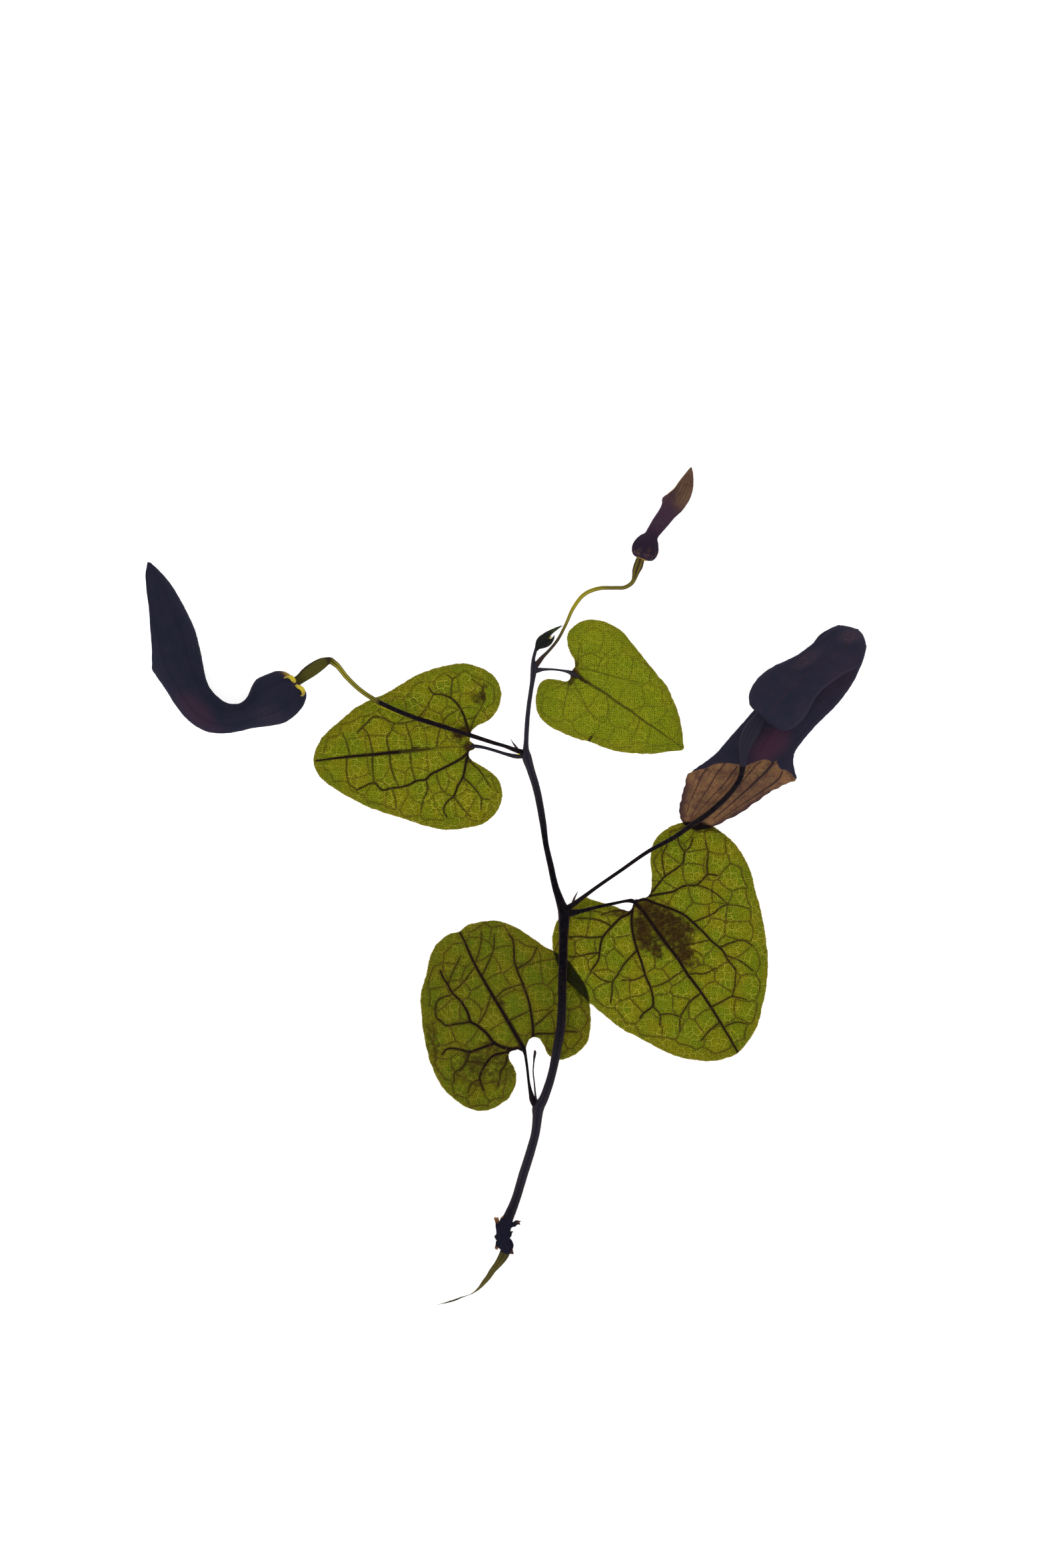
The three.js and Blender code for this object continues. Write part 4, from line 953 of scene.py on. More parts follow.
# %% [markdown]
# ## Stalks and stems
#
# A stem or stalk is a tube along a smooth line. Blender's own curve with a round bevel would do for a
# plain one, but here each ring gets ribs and unevenness of its own, and each point carries its side, its
# rib and how fresh it is, for the finish. The ends are rounded by a few shrinking rings.


# %% Tubes
def ripple(along, turn, size):
    """Gentle, repeatable unevenness between about -1 and 1, over places given in mm and radians."""
    waves = np.sin(along * 6.1 / size + 2 * turn) + np.sin(along * 2.3 / size - turn + 1.7)
    return (waves + np.sin(along * 11.3 / size + 5 * turn + 0.6) + np.sin(3 * turn - along / size)) / 4


NOT_FRESH = ((0, 0), (1, 0))


def tube(line, step=0.25, sides=24, ribs=0, rib=0.0, rough=0.0, flat=1.0, twist=0.0, fresh=NOT_FRESH):
    """A round or flattened stalk. Each point of line is x, y, z and radius, in mm. rib is the height of
    its ribs as a share of the radius, rough its unevenness in mm, twist is in degrees over its whole
    length, and fresh gives pairs: a share of the length, and how fresh the stalk is there."""
    rows = smooth_line(line, step, dimensions=3)
    heading = unit(np.gradient(rows[:, :3], axis=0))
    along = lengths_along(rows[:, :3])
    ends = []
    for end, sign in ((0, -1), (-1, 1)):
        for lean in (30, 60, 82):
            angle = np.radians(lean)
            radius = rows[end, 3]
            place = rows[end, :3] + heading[end] * sign * radius * 0.8 * np.sin(angle)
            ends.append(np.array([*place, radius * np.cos(angle)]))
    rows = np.vstack([ends[2], ends[1], ends[0], rows, ends[3], ends[4], ends[5]])
    heading = np.vstack([heading[:1]] * 3 + [heading] + [heading[-1:]] * 3)
    along = np.concatenate([[0] * 3, along, [along[-1]] * 3])
    aside = unit(np.cross(heading, (0, 0, 1)))
    above = np.cross(aside, heading)
    turn = np.linspace(0, 2 * np.pi, sides, endpoint=False)[None] + np.zeros((len(rows), 1))
    swirl = turn + (np.radians(twist) * along / along[-1])[:, None]
    size = rows[:, 3:4] * (1 + rib * np.cos(ribs * turn)) + rough * ripple(along[:, None], turn, 1.0)
    wide, high = size * np.cos(turn), size * np.sin(turn) * flat
    lean = swirl - turn
    across, up = wide * np.cos(lean) - high * np.sin(lean), wide * np.sin(lean) + high * np.cos(lean)
    grid = rows[:, None, :3] + across[..., None] * aside[:, None] + up[..., None] * above[:, None]
    share = along / along[-1]
    places, values = zip(*fresh)
    paint = {
        "side": np.abs(np.cos(turn)),
        "rib": (np.cos(ribs * turn) + 1) / 2,
        "fresh": np.interp(share, places, values)[:, None] + np.zeros_like(turn),
    }
    return grid_mesh(grid, {key: value.ravel() for key, value in paint.items()})


def grid_mesh(grid, paint):
    """Rings of points, closed round and capped at both ends."""
    rings, sides, _ = grid.shape
    ring, side = np.meshgrid(np.arange(rings - 1), np.arange(sides), indexing="ij")
    here = (ring * sides + side).ravel()
    following = (ring * sides + (side + 1) % sides).ravel()
    walls = np.c_[here, here + sides, following + sides, following][:, ::-1]
    first = np.arange(sides)[None]
    last = first + (rings - 1) * sides
    return grid.reshape(-1, 3), [walls, first, last[:, ::-1]], paint


# %% [markdown]
# ## Bark, and the skin of the stalks
#
# Seen against the light the stem is almost black, with a thin brown line where its edge lets some light
# through, so the finish is a dark purple that turns brown at the sides. The stalks of the flowers are
# the same at the stem and turn yellow green towards the flower, which the `fresh` value says.


# %% Stalk finishes
def stalk_finish(name, dark, edge, ripe, stripe):
    """Dark skin with a brown edge that turns, where it is fresh, to ripe ribs and stripes between them."""
    skin = Finish(name)
    grain = skin.noise(0.25, 3.0)
    long_grain = skin.noise(0.9, 2.0)
    skin.start(skin.rise(long_grain, 0.35, 0.7), dark, edge)
    skin.lay(0.85, dark)
    ripe_colour = skin.mix(skin.rise(skin.painted("rib"), 0.1, 0.7), stripe, ripe)
    ripe_colour = skin.mix(skin.rise(grain, 0.4, 0.8, 0.35), ripe_colour, stripe)
    skin.lay(skin.painted("fresh"), ripe_colour)
    side = skin.rise(skin.painted("side"), 0.72, 0.97)
    side = skin.times(side, skin.rise(long_grain, 0.1, 0.5, 0.85))
    skin.lay(side, edge)
    relief = skin.plus(skin.times(grain, 0.6), skin.times(long_grain, 0.4))
    return skin.done(0.55, relief, depth=0.02, gloss=0.015)


stem_bark = stalk_finish("stem_bark", "09090f", "3a2c2d", "312e38", "24212b")
flower_stalk_skin = stalk_finish("flower_stalk_skin", "0e0d13", "3f2f2a", "a39c2f", "4b3d1a")
pale_stalk_skin = stalk_finish("pale_stalk_skin", "2e2429", "402b28", "aca02a", "7f7424")
print("stem, flower stalk and pale stalk finishes")

# %% [markdown]
# ## Dry bark and withered skin
#
# Three parts of the plant are dead: the torn bark, the dry spikes and stalk, and the withered tail. They
# are dull and fibrous, so one finish with three sets of colours does for all of them. Its bump is deeper
# than that of living skin, and the paler colour comes in blots and where the mesh says that it is worn.


# %% Dry and withered finishes
def dry_finish(name, dark, warm, pale, warm_share, pale_share):
    skin = Finish(name)
    shred = skin.noise(0.22, 4.0)
    patch = skin.noise(1.1, 2.0)
    skin.start(skin.rise(shred, 0.45, 0.85, warm_share), dark, warm)
    skin.lay(skin.painted("fresh"), pale)
    skin.lay(skin.rise(patch, 0.55, 0.8, pale_share), pale)
    skin.lay(skin.rise(skin.painted("rib"), 0.5, 0.1, 0.5), dark)
    return skin.done(0.85, shred, depth=0.08, gloss=0.01)


torn_bark = dry_finish("torn_bark", "1a1b29", "42281f", "8d623a", 0.4, 0.0)
dry_stalk_skin = dry_finish("dry_stalk_skin", "241d25", "4a383a", "7a6150", 1.0, 0.2)
withered_skin = dry_finish("withered_skin", "2a2618", "564d2e", "7b7138", 1.0, 0.3)
print("three dry finishes")

# %% [markdown]
# ## The main stem
#
# The stem zigzags: at each joint it turns away from the leaf that grows there and is a little thicker.
# Its lower end was torn off the older plant, so the last few millimetres are rough bark: a second, very
# uneven tube over the stem's own line.

# %% Main stem
stem_line = [
    (0.1, -68, 1.25, 0.6), (-0.2, -66.5, 1.35, 0.95), (-0.25, -64.5, 1.4, 1), (0.35, -62.8, 1.35, 1),
    (0.98, -61.4, 1.2, 0.94), (1.98, -58.9, 1.1, 0.83), (3.5, -53.9, 1.1, 0.84), (4.85, -49.6, 1.15, 0.82),
    (5.7, -46.4, 1.2, 0.8), (6.1, -43.2, 1.35, 0.9), (6.25, -41.6, 1.5, 1.08), (7.15, -40.1, 1.7, 0.85),
    (8.3, -37, 2.05, 0.78), (8.95, -34.6, 2.4, 0.76), (9.85, -30, 2.9, 0.84), (10.5, -26, 3.1, 0.84),
    (10.7, -22, 3.25, 0.8), (10.75, -18, 3.3, 0.8), (10.87, -14, 3.3, 0.82), (10.95, -10, 3.2, 0.83),
    (11.05, -6.7, 3, 0.98), (11.05, -4.9, 2.9, 1.08), (10.4, -3, 2.7, 0.82), (9.42, 0, 2.4, 0.63),
    (8.53, 4, 2.1, 0.57), (7.65, 8, 1.9, 0.53), (7.1, 12, 1.75, 0.62), (5.9, 18.3, 1.6, 0.68),
    (4.75, 22, 1.55, 0.74), (4.1, 24.2, 1.55, 0.86), (3.95, 25.5, 1.5, 0.58), (3.97, 26.8, 1.45, 0.45),
    (4.13, 30, 1.4, 0.43), (4.5, 34, 1.3, 0.4), (5.1, 38, 1.2, 0.42), (5.35, 40, 1.2, 0.56),
    (5.45, 41.1, 1.2, 0.62), (5.33, 42.3, 1.1, 0.34), (5.55, 43.4, 1.05, 0.3), (5.9, 44.6, 1, 0.3),
]
lit_ends = ((0, 0.3), (0.06, 0.4), (0.12, 0.8), (0.25, 0.7), (0.45, 0), (0.68, 0), (0.8, 0.9), (1, 1))
stem = tube(stem_line, step=0.2, sides=36, ribs=6, rib=0.03, rough=0.02, fresh=lit_ends)
add_piece("stem", stem, stem_bark, "stem_bark", "main_stem")

torn_line = [
    (0.4, -68.6, 1.25, 0.55), (0.15, -68, 1.3, 0.95), (-0.1, -67.1, 1.4, 1.12), (-0.3, -66.2, 1.5, 1.2),
    (-0.36, -65.3, 1.5, 1.24), (-0.3, -64.4, 1.5, 1.26), (-0.02, -63.5, 1.45, 1.22),
    (0.35, -62.8, 1.4, 1.1), (0.65, -62.2, 1.3, 0.95),
]
torn = tube(torn_line, step=0.08, sides=60, ribs=9, rib=0.05, rough=0.12)
add_piece("torn_base", torn, torn_bark, "dry_bark")

# %% [markdown]
# ## Leaf stalks
#
# A leaf stalk leaves the joint thick, thins out, and widens again into the base of the blade, where the
# veins begin. Each one starts inside the stem, so no gap shows at the joint, and ends as a thin tongue
# on top of the blade. The two upper ones are younger and a shade lighter.

# %% Leaf stalks
leaf_stalk_lines = {
    "lower": [
        (6.1, -41.8, 1.5, 0.6), (5.2, -40, 1.5, 0.6), (4.9, -39, 1.35, 0.42), (4.5, -37, 1, 0.26),
        (4.28, -35, 0.75, 0.24), (4.03, -33, 0.6, 0.25), (3.8, -31.6, 0.5, 0.28), (3.55, -30.7, 0.46, 0.4),
        (3.2, -29.9, 0.42, 0.28), (2.8, -29.2, 0.36, 0.14),
    ],
    "right": [
        (11.3, -5.1, 2.9, 0.8), (12.5, -5.02, 2.7, 0.66), (14, -4.75, 2.4, 0.42), (16, -4.28, 1.9, 0.33),
        (18, -3.8, 1.5, 0.3), (20.4, -3.3, 0.95, 0.28), (22.7, -2.85, 0.6, 0.28), (23.9, -2.85, 0.46, 0.4),
        (24.5, -3.25, 0.42, 0.3), (25.2, -4.05, 0.36, 0.14),
    ],
    "left": [
        (3.9, 24.4, 1.5, 0.45), (2, 24.3, 1.35, 0.4), (0, 24.77, 1.1, 0.3), (-2, 25.4, 0.8, 0.28),
        (-4, 25.95, 0.55, 0.28), (-5.4, 26.17, 0.46, 0.32), (-6.2, 26.2, 0.42, 0.32),
        (-7, 26.17, 0.36, 0.14),
    ],
    "upper": [
        (5.5, 40.3, 1.1, 0.5), (6.3, 40.45, 1.1, 0.44), (7.2, 40.56, 1.05, 0.29), (9, 40.58, 0.8, 0.2),
        (11, 40.33, 0.5, 0.22), (11.9, 40.12, 0.45, 0.32), (12.6, 39.85, 0.42, 0.44),
        (13.3, 39.45, 0.4, 0.3), (14.2, 38.9, 0.36, 0.14),
    ],
}
lit_leaf_stalks = {"upper": 1, "left": 0.7}
for side, line in leaf_stalk_lines.items():
    lit = lit_leaf_stalks.get(side, 0)
    stalk = tube(line, 0.18, 20, 4, 0.04, 0.012, fresh=((0, lit), (1, lit)))
    add_piece(f"fine_{side}_leaf_stalk", stalk, stem_bark, "stem_bark", side + "_leaf_stalk")

# %% [markdown]
# ## Flower stalks and ovaries
#
# Each flower stands on a thin stalk that ends in the ovary, the ribbed body that would grow into the
# fruit. The top flower's has six clear ribs, olive green with dark furrows between them, and the older
# ones have finer and closer ribs. A dark ring marks the place where the left stalk and its ovary meet.

# %% Flower stalks
left_stalk_line = [
    (3.8, 24.9, 1.5, 0.5), (2, 25.45, 1.65, 0.42), (0, 26.2, 1.7, 0.33), (-2, 26.78, 1.7, 0.35),
    (-6.7, 28.3, 1.8, 0.4), (-12, 30, 2, 0.42), (-17.3, 31.7, 2.3, 0.42), (-22.7, 34, 2.8, 0.42),
    (-26.7, 36.4, 3.4, 0.42), (-29.6, 39.1, 4.1, 0.44), (-31.3, 41.2, 4.7, 0.5), (-32.6, 42.2, 5, 0.6),
]
top_stalk_line = [
    (5.6, 41.1, 1.05, 0.54), (6.4, 42.1, 1.15, 0.47), (7.15, 43, 1.15, 0.37), (8.15, 44, 1.1, 0.29),
    (9.8, 46, 1, 0.28), (11.4, 49, 1, 0.29), (12.75, 52, 1, 0.35), (14.8, 54.6, 1.1, 0.38),
    (17.5, 55.75, 1.3, 0.38), (20.5, 55.87, 1.6, 0.36), (22.4, 55.95, 1.9, 0.38), (23.7, 56.7, 2.2, 0.4),
    (24.2, 57.5, 2.38, 0.42),
]
right_stalk_line = [
    (11.2, -4.5, 2.9, 0.6), (13, -3.3, 2.95, 0.45), (14.5, -2.2, 2.9, 0.38), (17.5, 0, 2.8, 0.33),
    (21.7, 2.9, 2.6, 0.33), (26.9, 6.5, 2.4, 0.36), (31.5, 9, 2.5, 0.42), (34.5, 11.1, 3.1, 0.46),
    (38.3, 13.8, 4.5, 0.5), (42, 17.3, 6, 0.5), (43.9, 20.1, 7, 0.52), (44.45, 22.5, 7.65, 0.56),
]
left_stalk_shades = ((0, 0), (0.7, 0), (0.725, 0.5), (0.8, 0.75), (0.95, 1), (1, 0.3))
left_stalk = tube(left_stalk_line, sides=28, ribs=6, rib=0.06, fresh=left_stalk_shades)
top_stalk_shades = ((0, 0), (0.25, 0.1), (0.4, 0.6), (0.52, 1), (0.68, 0.8), (0.8, 0.4), (1, 0.35))
top_stalk = tube(top_stalk_line, sides=24, ribs=5, rib=0.05, fresh=top_stalk_shades)
right_stalk = tube(right_stalk_line, sides=28, ribs=6, rib=0.05)
for name, parts, finish in (
    ("left_flower_stalk", left_stalk, flower_stalk_skin),
    ("top_flower_stalk", top_stalk, pale_stalk_skin),
    ("right_flower_stalk", right_stalk, flower_stalk_skin),
):
    add_piece("fine_" + name, parts, finish, "flower_stalk_skin", name)


# %% Ovary finish
def ovary_finish(name, rib, furrow, blush, edge):
    """Ribs and furrows, blots of blush, and a darker edge. Where it is painted fresh it is a dark ring."""
    skin = Finish(name)
    grain = skin.noise(0.3, 3.0)
    patch = skin.noise(1.4, 2.0)
    skin.start(skin.rise(skin.painted("rib"), 0.25, 0.7), furrow, rib)
    skin.lay(skin.rise(patch, 0.45, 0.75, 0.5), blush)
    skin.lay(skin.rise(grain, 0.45, 0.75, 0.35), furrow)
    skin.lay(skin.rise(skin.painted("side"), 0.8, 0.98, 0.8), edge)
    skin.lay(skin.times(skin.painted("fresh"), 0.9), "2a1e1c")
    return skin.done(0.6, grain, depth=0.02, gloss=0.02)


left_ovary_skin = ovary_finish("left_ovary_skin", "565421", "3e391a", "45431c", "2c2418")
top_ovary_skin = ovary_finish("top_ovary_skin", "655c22", "3a2a22", "57501f", "302226")
dark_ovary_skin = ovary_finish("dark_ovary_skin", "2a2834", "262430", "2c2935", "232230")
print("three ovary finishes")

# %% Ovaries
left_ovary_line = [
    (-32.7, 42.25, 5, 0.6), (-33.2, 42.1, 5, 0.74), (-34.1, 41.7, 5, 1.02), (-35.6, 40.75, 5, 1.2),
    (-37.1, 39.7, 5, 1.14), (-38.2, 38.8, 5, 0.94), (-39.3, 38.1, 5, 0.85),
]
top_ovary_line = [
    (24.2, 57.5, 2.38, 0.42), (24.4, 58.2, 2.42, 0.55), (24.6, 59, 2.45, 0.72), (24.95, 59.9, 2.45, 0.84),
    (25.3, 61, 2.45, 0.76), (25.6, 62, 2.45, 0.6),
]
right_ovary_line = [
    (44.47, 22.5, 7.65, 0.56), (44.6, 24.8, 8.1, 0.88), (45.1, 27, 8.4, 1.35), (46.2, 29.3, 8.5, 1.5),
    (47.4, 31.1, 8.5, 1.2), (48.5, 32.6, 8.5, 1),
]
dark_ring = ((0, 1), (0.07, 0.7), (0.12, 0), (1, 0))
left_ovary = tube(left_ovary_line, 0.12, 120, 20, 0.018, 0.01, twist=35, fresh=dark_ring)
top_ovary = tube(top_ovary_line, 0.12, 60, 6, 0.05, 0.015)
right_ovary = tube(right_ovary_line, 0.15, 72, 12, 0.014, 0.01)
for name, parts, finish in (
    ("left_ovary", left_ovary, left_ovary_skin),
    ("top_ovary", top_ovary, top_ovary_skin),
    ("right_ovary", right_ovary, dark_ovary_skin),
):
    add_piece("fine_" + name, parts, finish, "ovary_skin", name)

# %% [markdown]
# ## The pipe of a flower
#
# The coloured part of the flower is one curved pipe: a swollen pouch at the ovary, a bend, and a mouth
# that opens on one side into a long limb. It is made as a skin over rings. A closed ring is an ellipse;
# past the mouth a ring is only an arc, whose ends are the two edges of the mouth. The same rings, moved in
# by the thickness of the wall, make the inside, so the pipe is a thin tube that can be looked into.
#
# The nerves are raised along the direction that the surface faces, which is the cross product of two
# differences along the grid.


# %% Pipe skin
def side_rings(rows, height):
    """Rings of a pipe that lies on its side. A row is the back of the limb, the mouth side, half of the
    height and how far round the wall reaches."""
    back, front = rows[:, 0:2], rows[:, 2:4]
    reach = np.radians(np.minimum(rows[:, 5], 180))
    level = np.full(len(rows), height)
    limb = np.c_[back - front, level * 0] / (1 - np.cos(reach))[:, None]
    centre = np.c_[back, level] - limb
    side = np.c_[level * 0, level * 0, rows[:, 4]]
    return centre, limb, side, reach


def pipe_skin(rings, columns, wall, throat, relief):
    """Outer and inner skin of a pipe. throat is where its bore ends, as a share of its length.
    relief takes (share along, turn) and gives the height of nerves and folds in mm."""
    centre, limb, side, reach = rings
    count, width = len(centre), columns + 1
    turn = reach[:, None] * np.linspace(-1, 1, width)
    grid = centre[:, None] + limb[:, None] * np.cos(turn)[..., None]
    grid = grid + side[:, None] * np.sin(turn)[..., None]
    facing = np.cross(np.gradient(grid, axis=0), np.gradient(grid, axis=1))
    facing = facing / np.maximum(np.linalg.norm(facing, axis=2, keepdims=True), 1e-9)
    outward = np.sign(((grid - centre[:, None]) * facing).sum(2).mean())
    facing = facing * outward
    along = (np.arange(count) / (count - 1))[:, None] + np.zeros_like(turn)
    outer = grid + facing * relief(along, turn)[..., None]
    start = round(throat * (count - 1))
    thin = np.minimum(wall, 0.45 * length(limb))[:, None, None]
    inner = (grid - facing * thin)[start:]
    points = np.vstack([outer.reshape(-1, 3), inner.reshape(-1, 3), grid[:1].mean(1), inner[:1].mean(1)])

    def quads(rows, offset):
        ring, column = np.meshgrid(np.arange(rows - 1), np.arange(columns), indexing="ij")
        here = (ring * width + column + offset).ravel()
        return np.c_[here, here + width, here + width + 1, here + 1]

    inside = count * width
    depth = count - start
    base, bottom = inside + depth * width, inside + depth * width + 1
    opened = np.flatnonzero(reach < np.pi - 1e-6)[0] - 1
    rim = np.arange(opened, count - 1)
    left = np.c_[rim * width, inside + (rim - start) * width]
    left = np.c_[left, inside + (rim + 1 - start) * width, (rim + 1) * width]
    right = left[:, ::-1] + columns
    tip = np.arange(columns)
    last_out, last_in = (count - 1) * width + tip, inside + (depth - 1) * width + tip
    end = np.c_[last_out, last_in, last_in + 1, last_out + 1]
    cap = np.c_[np.full(columns, base), tip, tip + 1]
    plug = np.c_[np.full(columns, bottom), inside + tip + 1, inside + tip]
    faces = [quads(count, 0), quads(depth, inside)[:, ::-1], left, right, end, cap, plug]
    if outward < 0:
        faces = [face[:, ::-1] for face in faces]
    paint = {
        "share": np.concatenate([along.ravel(), along[start:].ravel(), [0, throat]]),
        "turn": np.concatenate([turn.ravel(), turn[start:].ravel(), [0, 0]]),
        "edge": np.concatenate([np.tile(np.abs(np.linspace(-1, 1, width)), count + depth), [0, 0]]),
        "inside": np.concatenate([np.zeros(inside), np.ones(depth * width), [0, 1]]),
    }
    return points, faces, paint


def weld(points, faces, paint):
    """Joins the two edges of the skin where the rings are closed, so that no seam shows."""
    _, first, group = np.unique(np.round(points, 4), axis=0, return_index=True, return_inverse=True)
    group = group.ravel()
    kept = []
    for face in faces:
        face = group[face]
        distinct = np.ones(len(face), bool)
        for column in range(face.shape[1]):
            distinct &= face[:, column] != np.roll(face, -1, axis=1)[:, column]
        kept.append(face[distinct])
    return points[first], kept, {key: values[first] for key, values in paint.items()}


def nerves(count, sharpness):
    """Ridges that run along a pipe: how high each place round it stands, from 0 to 1."""
    return lambda turn: np.maximum(0, np.cos(count * turn / 2)) ** sharpness


# %% [markdown]
# ## The flower's colour
#
# The pipe is so dark that it looks black until it is lit: a blue purple with fine nerves along its
# length. Where the wall is thin a wine red is painted in, as painted light: the glow of light through
# the wall. The limb of the right flower is one layer thick and has dried to a translucent brown with a
# fan of dark nerves. So one finish serves all three flowers: dark, wine and brown are painted on the
# mesh, and the nodes add nerves, net and grain.


# %% Flower finish
def flower_finish(name, dark, wine, brown, nerve, pale, netted):
    """Dark skin with wine red, painted light where a thin wall glows, a brown, veined limb, and pale
    specks. netted is the strength of the limb's net."""
    skin = Finish(name)
    grain = skin.noise(0.18, 3.0)
    cloud = skin.noise(3.0, 2.0)
    blotches = skin.rise(skin.noise(0.55, 3.0), 0.45, 0.65)
    net = skin.cells(0.36, skin.shaken(skin.place, 0.8, 0.3))
    skin.start(skin.rise(cloud, 0.3, 0.7, 0.4), dark, wine)
    # Wine red: painted light where a thin wall glows, and the inside of the left pipe.
    skin.lay(skin.painted("wine"), "4b2d3e")
    haze = skin.painted("haze")
    blotched = skin.times(haze, skin.rise(blotches, 0, 1, 0.5))
    skin.lay(skin.plus(blotched, skin.times(haze, 0.4)), "54424a")
    leaf_brown = skin.mix(skin.rise(skin.noise(2.0, 3.0), 0.4, 0.65, 0.6), brown, nerve)
    leaf_brown = skin.mix(skin.rise(net, 0.16, 0.02, netted), leaf_brown, nerve)
    leaf_brown = skin.mix(skin.times(blotches, 0.35), leaf_brown, pale)
    leaf_brown = skin.mix(skin.rise(grain, 0.42, 0.75, 0.55), leaf_brown, nerve)
    skin.lay(skin.painted("brown"), leaf_brown)
    skin.lay(skin.times(skin.painted("mottle"), blotches), pale)
    skin.lay(skin.painted("nerve"), nerve)
    skin.lay(skin.rise(grain, 0.5, 0.85, 0.3), dark)
    # Near black: a darker band on the top pouch, and painted shade where the right limb lies over a leaf.
    skin.lay(skin.painted("black"), "08080d")
    skin.lay(skin.painted("yellow"), "c9a53a")
    relief = skin.plus(skin.times(grain, 0.5), skin.rise(net, 0.0, 0.3, 0.6))
    roughness = skin.plus(skin.rise(cloud, 0.3, 0.7, 0.15), 0.7)
    return skin.done(roughness, relief, depth=0.025, gloss=0.01, through=0.06)


dark_pipe = flower_finish("dark_pipe", "232534", "302a3a", "6b4a30", "1c1c28", "4a3a38", 0.4)
folded_pipe = flower_finish("folded_pipe", "262736", "372e3e", "8e6645", "3e2a2e", "867044", 0.5)
young_pipe = flower_finish("young_pipe", "2a2233", "3e2e3c", "6f5640", "452f2f", "7d5a44", 0.1)
print("three flower finishes")

# %% [markdown]
# ## Left flower
#
# This flower lies on its side, so the whole bend is seen. Each ring is given by the place of the limb's
# back, the place on the mouth side, half of its height and how far round its wall reaches: 180 degrees is
# a closed ring.

# %% Left flower
left_rings = [
    (-39.6, 38.9, -38, 37.4, 1, 180), (-40.6, 39.9, -37.15, 36.2, 2.6, 180),
    (-42.3, 40.2, -37.5, 34.3, 3.7, 180), (-44.4, 39.5, -39, 32.3, 4.5, 180),
    (-46.4, 38.5, -41.5, 30.6, 4.7, 180), (-47.3, 37, -44.5, 30, 4.3, 180),
    (-48.1, 35.3, -47.2, 29.7, 3.2, 180), (-49.5, 34.1, -49.6, 29.1, 2.6, 180),
    (-51.8, 34.1, -52.6, 28.7, 2.5, 180), (-53.9, 35.4, -56, 29.1, 2.6, 180),
    (-55.3, 37.1, -59, 31, 2.9, 180), (-56.1, 39.1, -61.4, 33.8, 3.3, 180),
    (-56.5, 41.2, -63.4, 37, 3.8, 180), (-56.9, 43.2, -65.1, 39.4, 4.3, 180),
    (-57.3, 44.9, -65.9, 40.8, 4.7, 180), (-57.8, 47, -65.9, 44, 4.9, 150),
    (-58.7, 49.4, -66.15, 48.2, 4.8, 135), (-60.1, 52.2, -66.5, 52.6, 4.3, 125),
    (-61.8, 55.2, -66.9, 55.9, 3.5, 118), (-63.6, 57.8, -67.1, 58.3, 2.4, 112),
    (-65.4, 59.7, -66.9, 59.9, 1.2, 105), (-66.3, 60.5, -66.8, 60.6, 0.5, 100),
]
LEFT_LEVEL = 5
left_rows = smooth_line(left_rings, 0.35)
six_nerves, many_nerves = nerves(12, 12), nerves(32, 4)


def left_relief(along, turn):
    fine = 0.04 * many_nerves(turn) * soft_step(along, 0.05, 0.15)
    strong = 0.1 * six_nerves(turn) * soft_step(along, 0.02, 0.1) * (1 - soft_step(along, 0.85, 1))
    return fine + strong + 0.05 * ripple(along * 70, turn, 2.5)


points, faces, paint = pipe_skin(side_rings(left_rows, LEFT_LEVEL), 192, 0.4, 0.42, left_relief)
paint["nerve"] = 0.35 * six_nerves(paint["turn"]) + 0.15 * many_nerves(paint["turn"])
# Wine red at the bend is painted light, the glow of the thin wall; the inside is wine red too.
paint["wine"] = np.maximum(0.4 * spot(points, -57.5, 32.5, 6, 2.6, -45), 0.85 * paint["inside"])
paint["haze"] = 0.2 * spot(points, -44, 32, 3.5, 2)
paint["black"] = paint["mottle"] = np.zeros(len(points))
paint["brown"] = 0.5 * spot(points, -39.1, 37.9, 0.9, 0.8)
paint["brown"] = np.maximum(paint["brown"], spot(points, -40.7, 39.7, 1.6, 0.9, -20))
paint["yellow"] = 0.45 * spot(points, -40.3, 39.75, 1.4, 0.65, -20)
left_pipe = weld(points, faces, paint)
add_piece("fine_left_pipe", left_pipe, dark_pipe, "pipe_skin", "left_pipe")

# %% [markdown]
# ## Yellow folds at the base of the pouch
#
# Beside the ovary the pouch is folded in, and a bright yellow fold curls out on either side. Each is a
# flat, ridged roll that rests on the pouch, so its line is given as it is seen from above, with a
# radius, and its height is read off the pouch's skin.


# %% Yellow folds
def lay_on(line, skin, lift):
    """A line of x, y and radius, with the height of the skin under each of its points put in."""
    rows = smooth_line(line, 0.4)
    heights = [skin[length(skin[:, :2] - row[:2]) < 0.5, 2].max() for row in rows]
    return np.c_[rows[:, :2], np.array(heights) + lift, rows[:, 2]]


def fold_finish():
    skin = Finish("yellow_fold")
    lines = skin.noise(0.16, 2.0)
    skin.start(skin.rise(skin.painted("rib"), 0.2, 0.8), "b49a22", "ead848")
    skin.lay(skin.rise(lines, 0.45, 0.75, 0.35), "8f6d1a")
    skin.lay(skin.painted("fresh"), "97814c")
    skin.lay(skin.rise(skin.painted("side"), 0.85, 1.0, 0.6), "6b4a16")
    return skin.done(0.5, lines, depth=0.03, gloss=0.04, through=0.1)


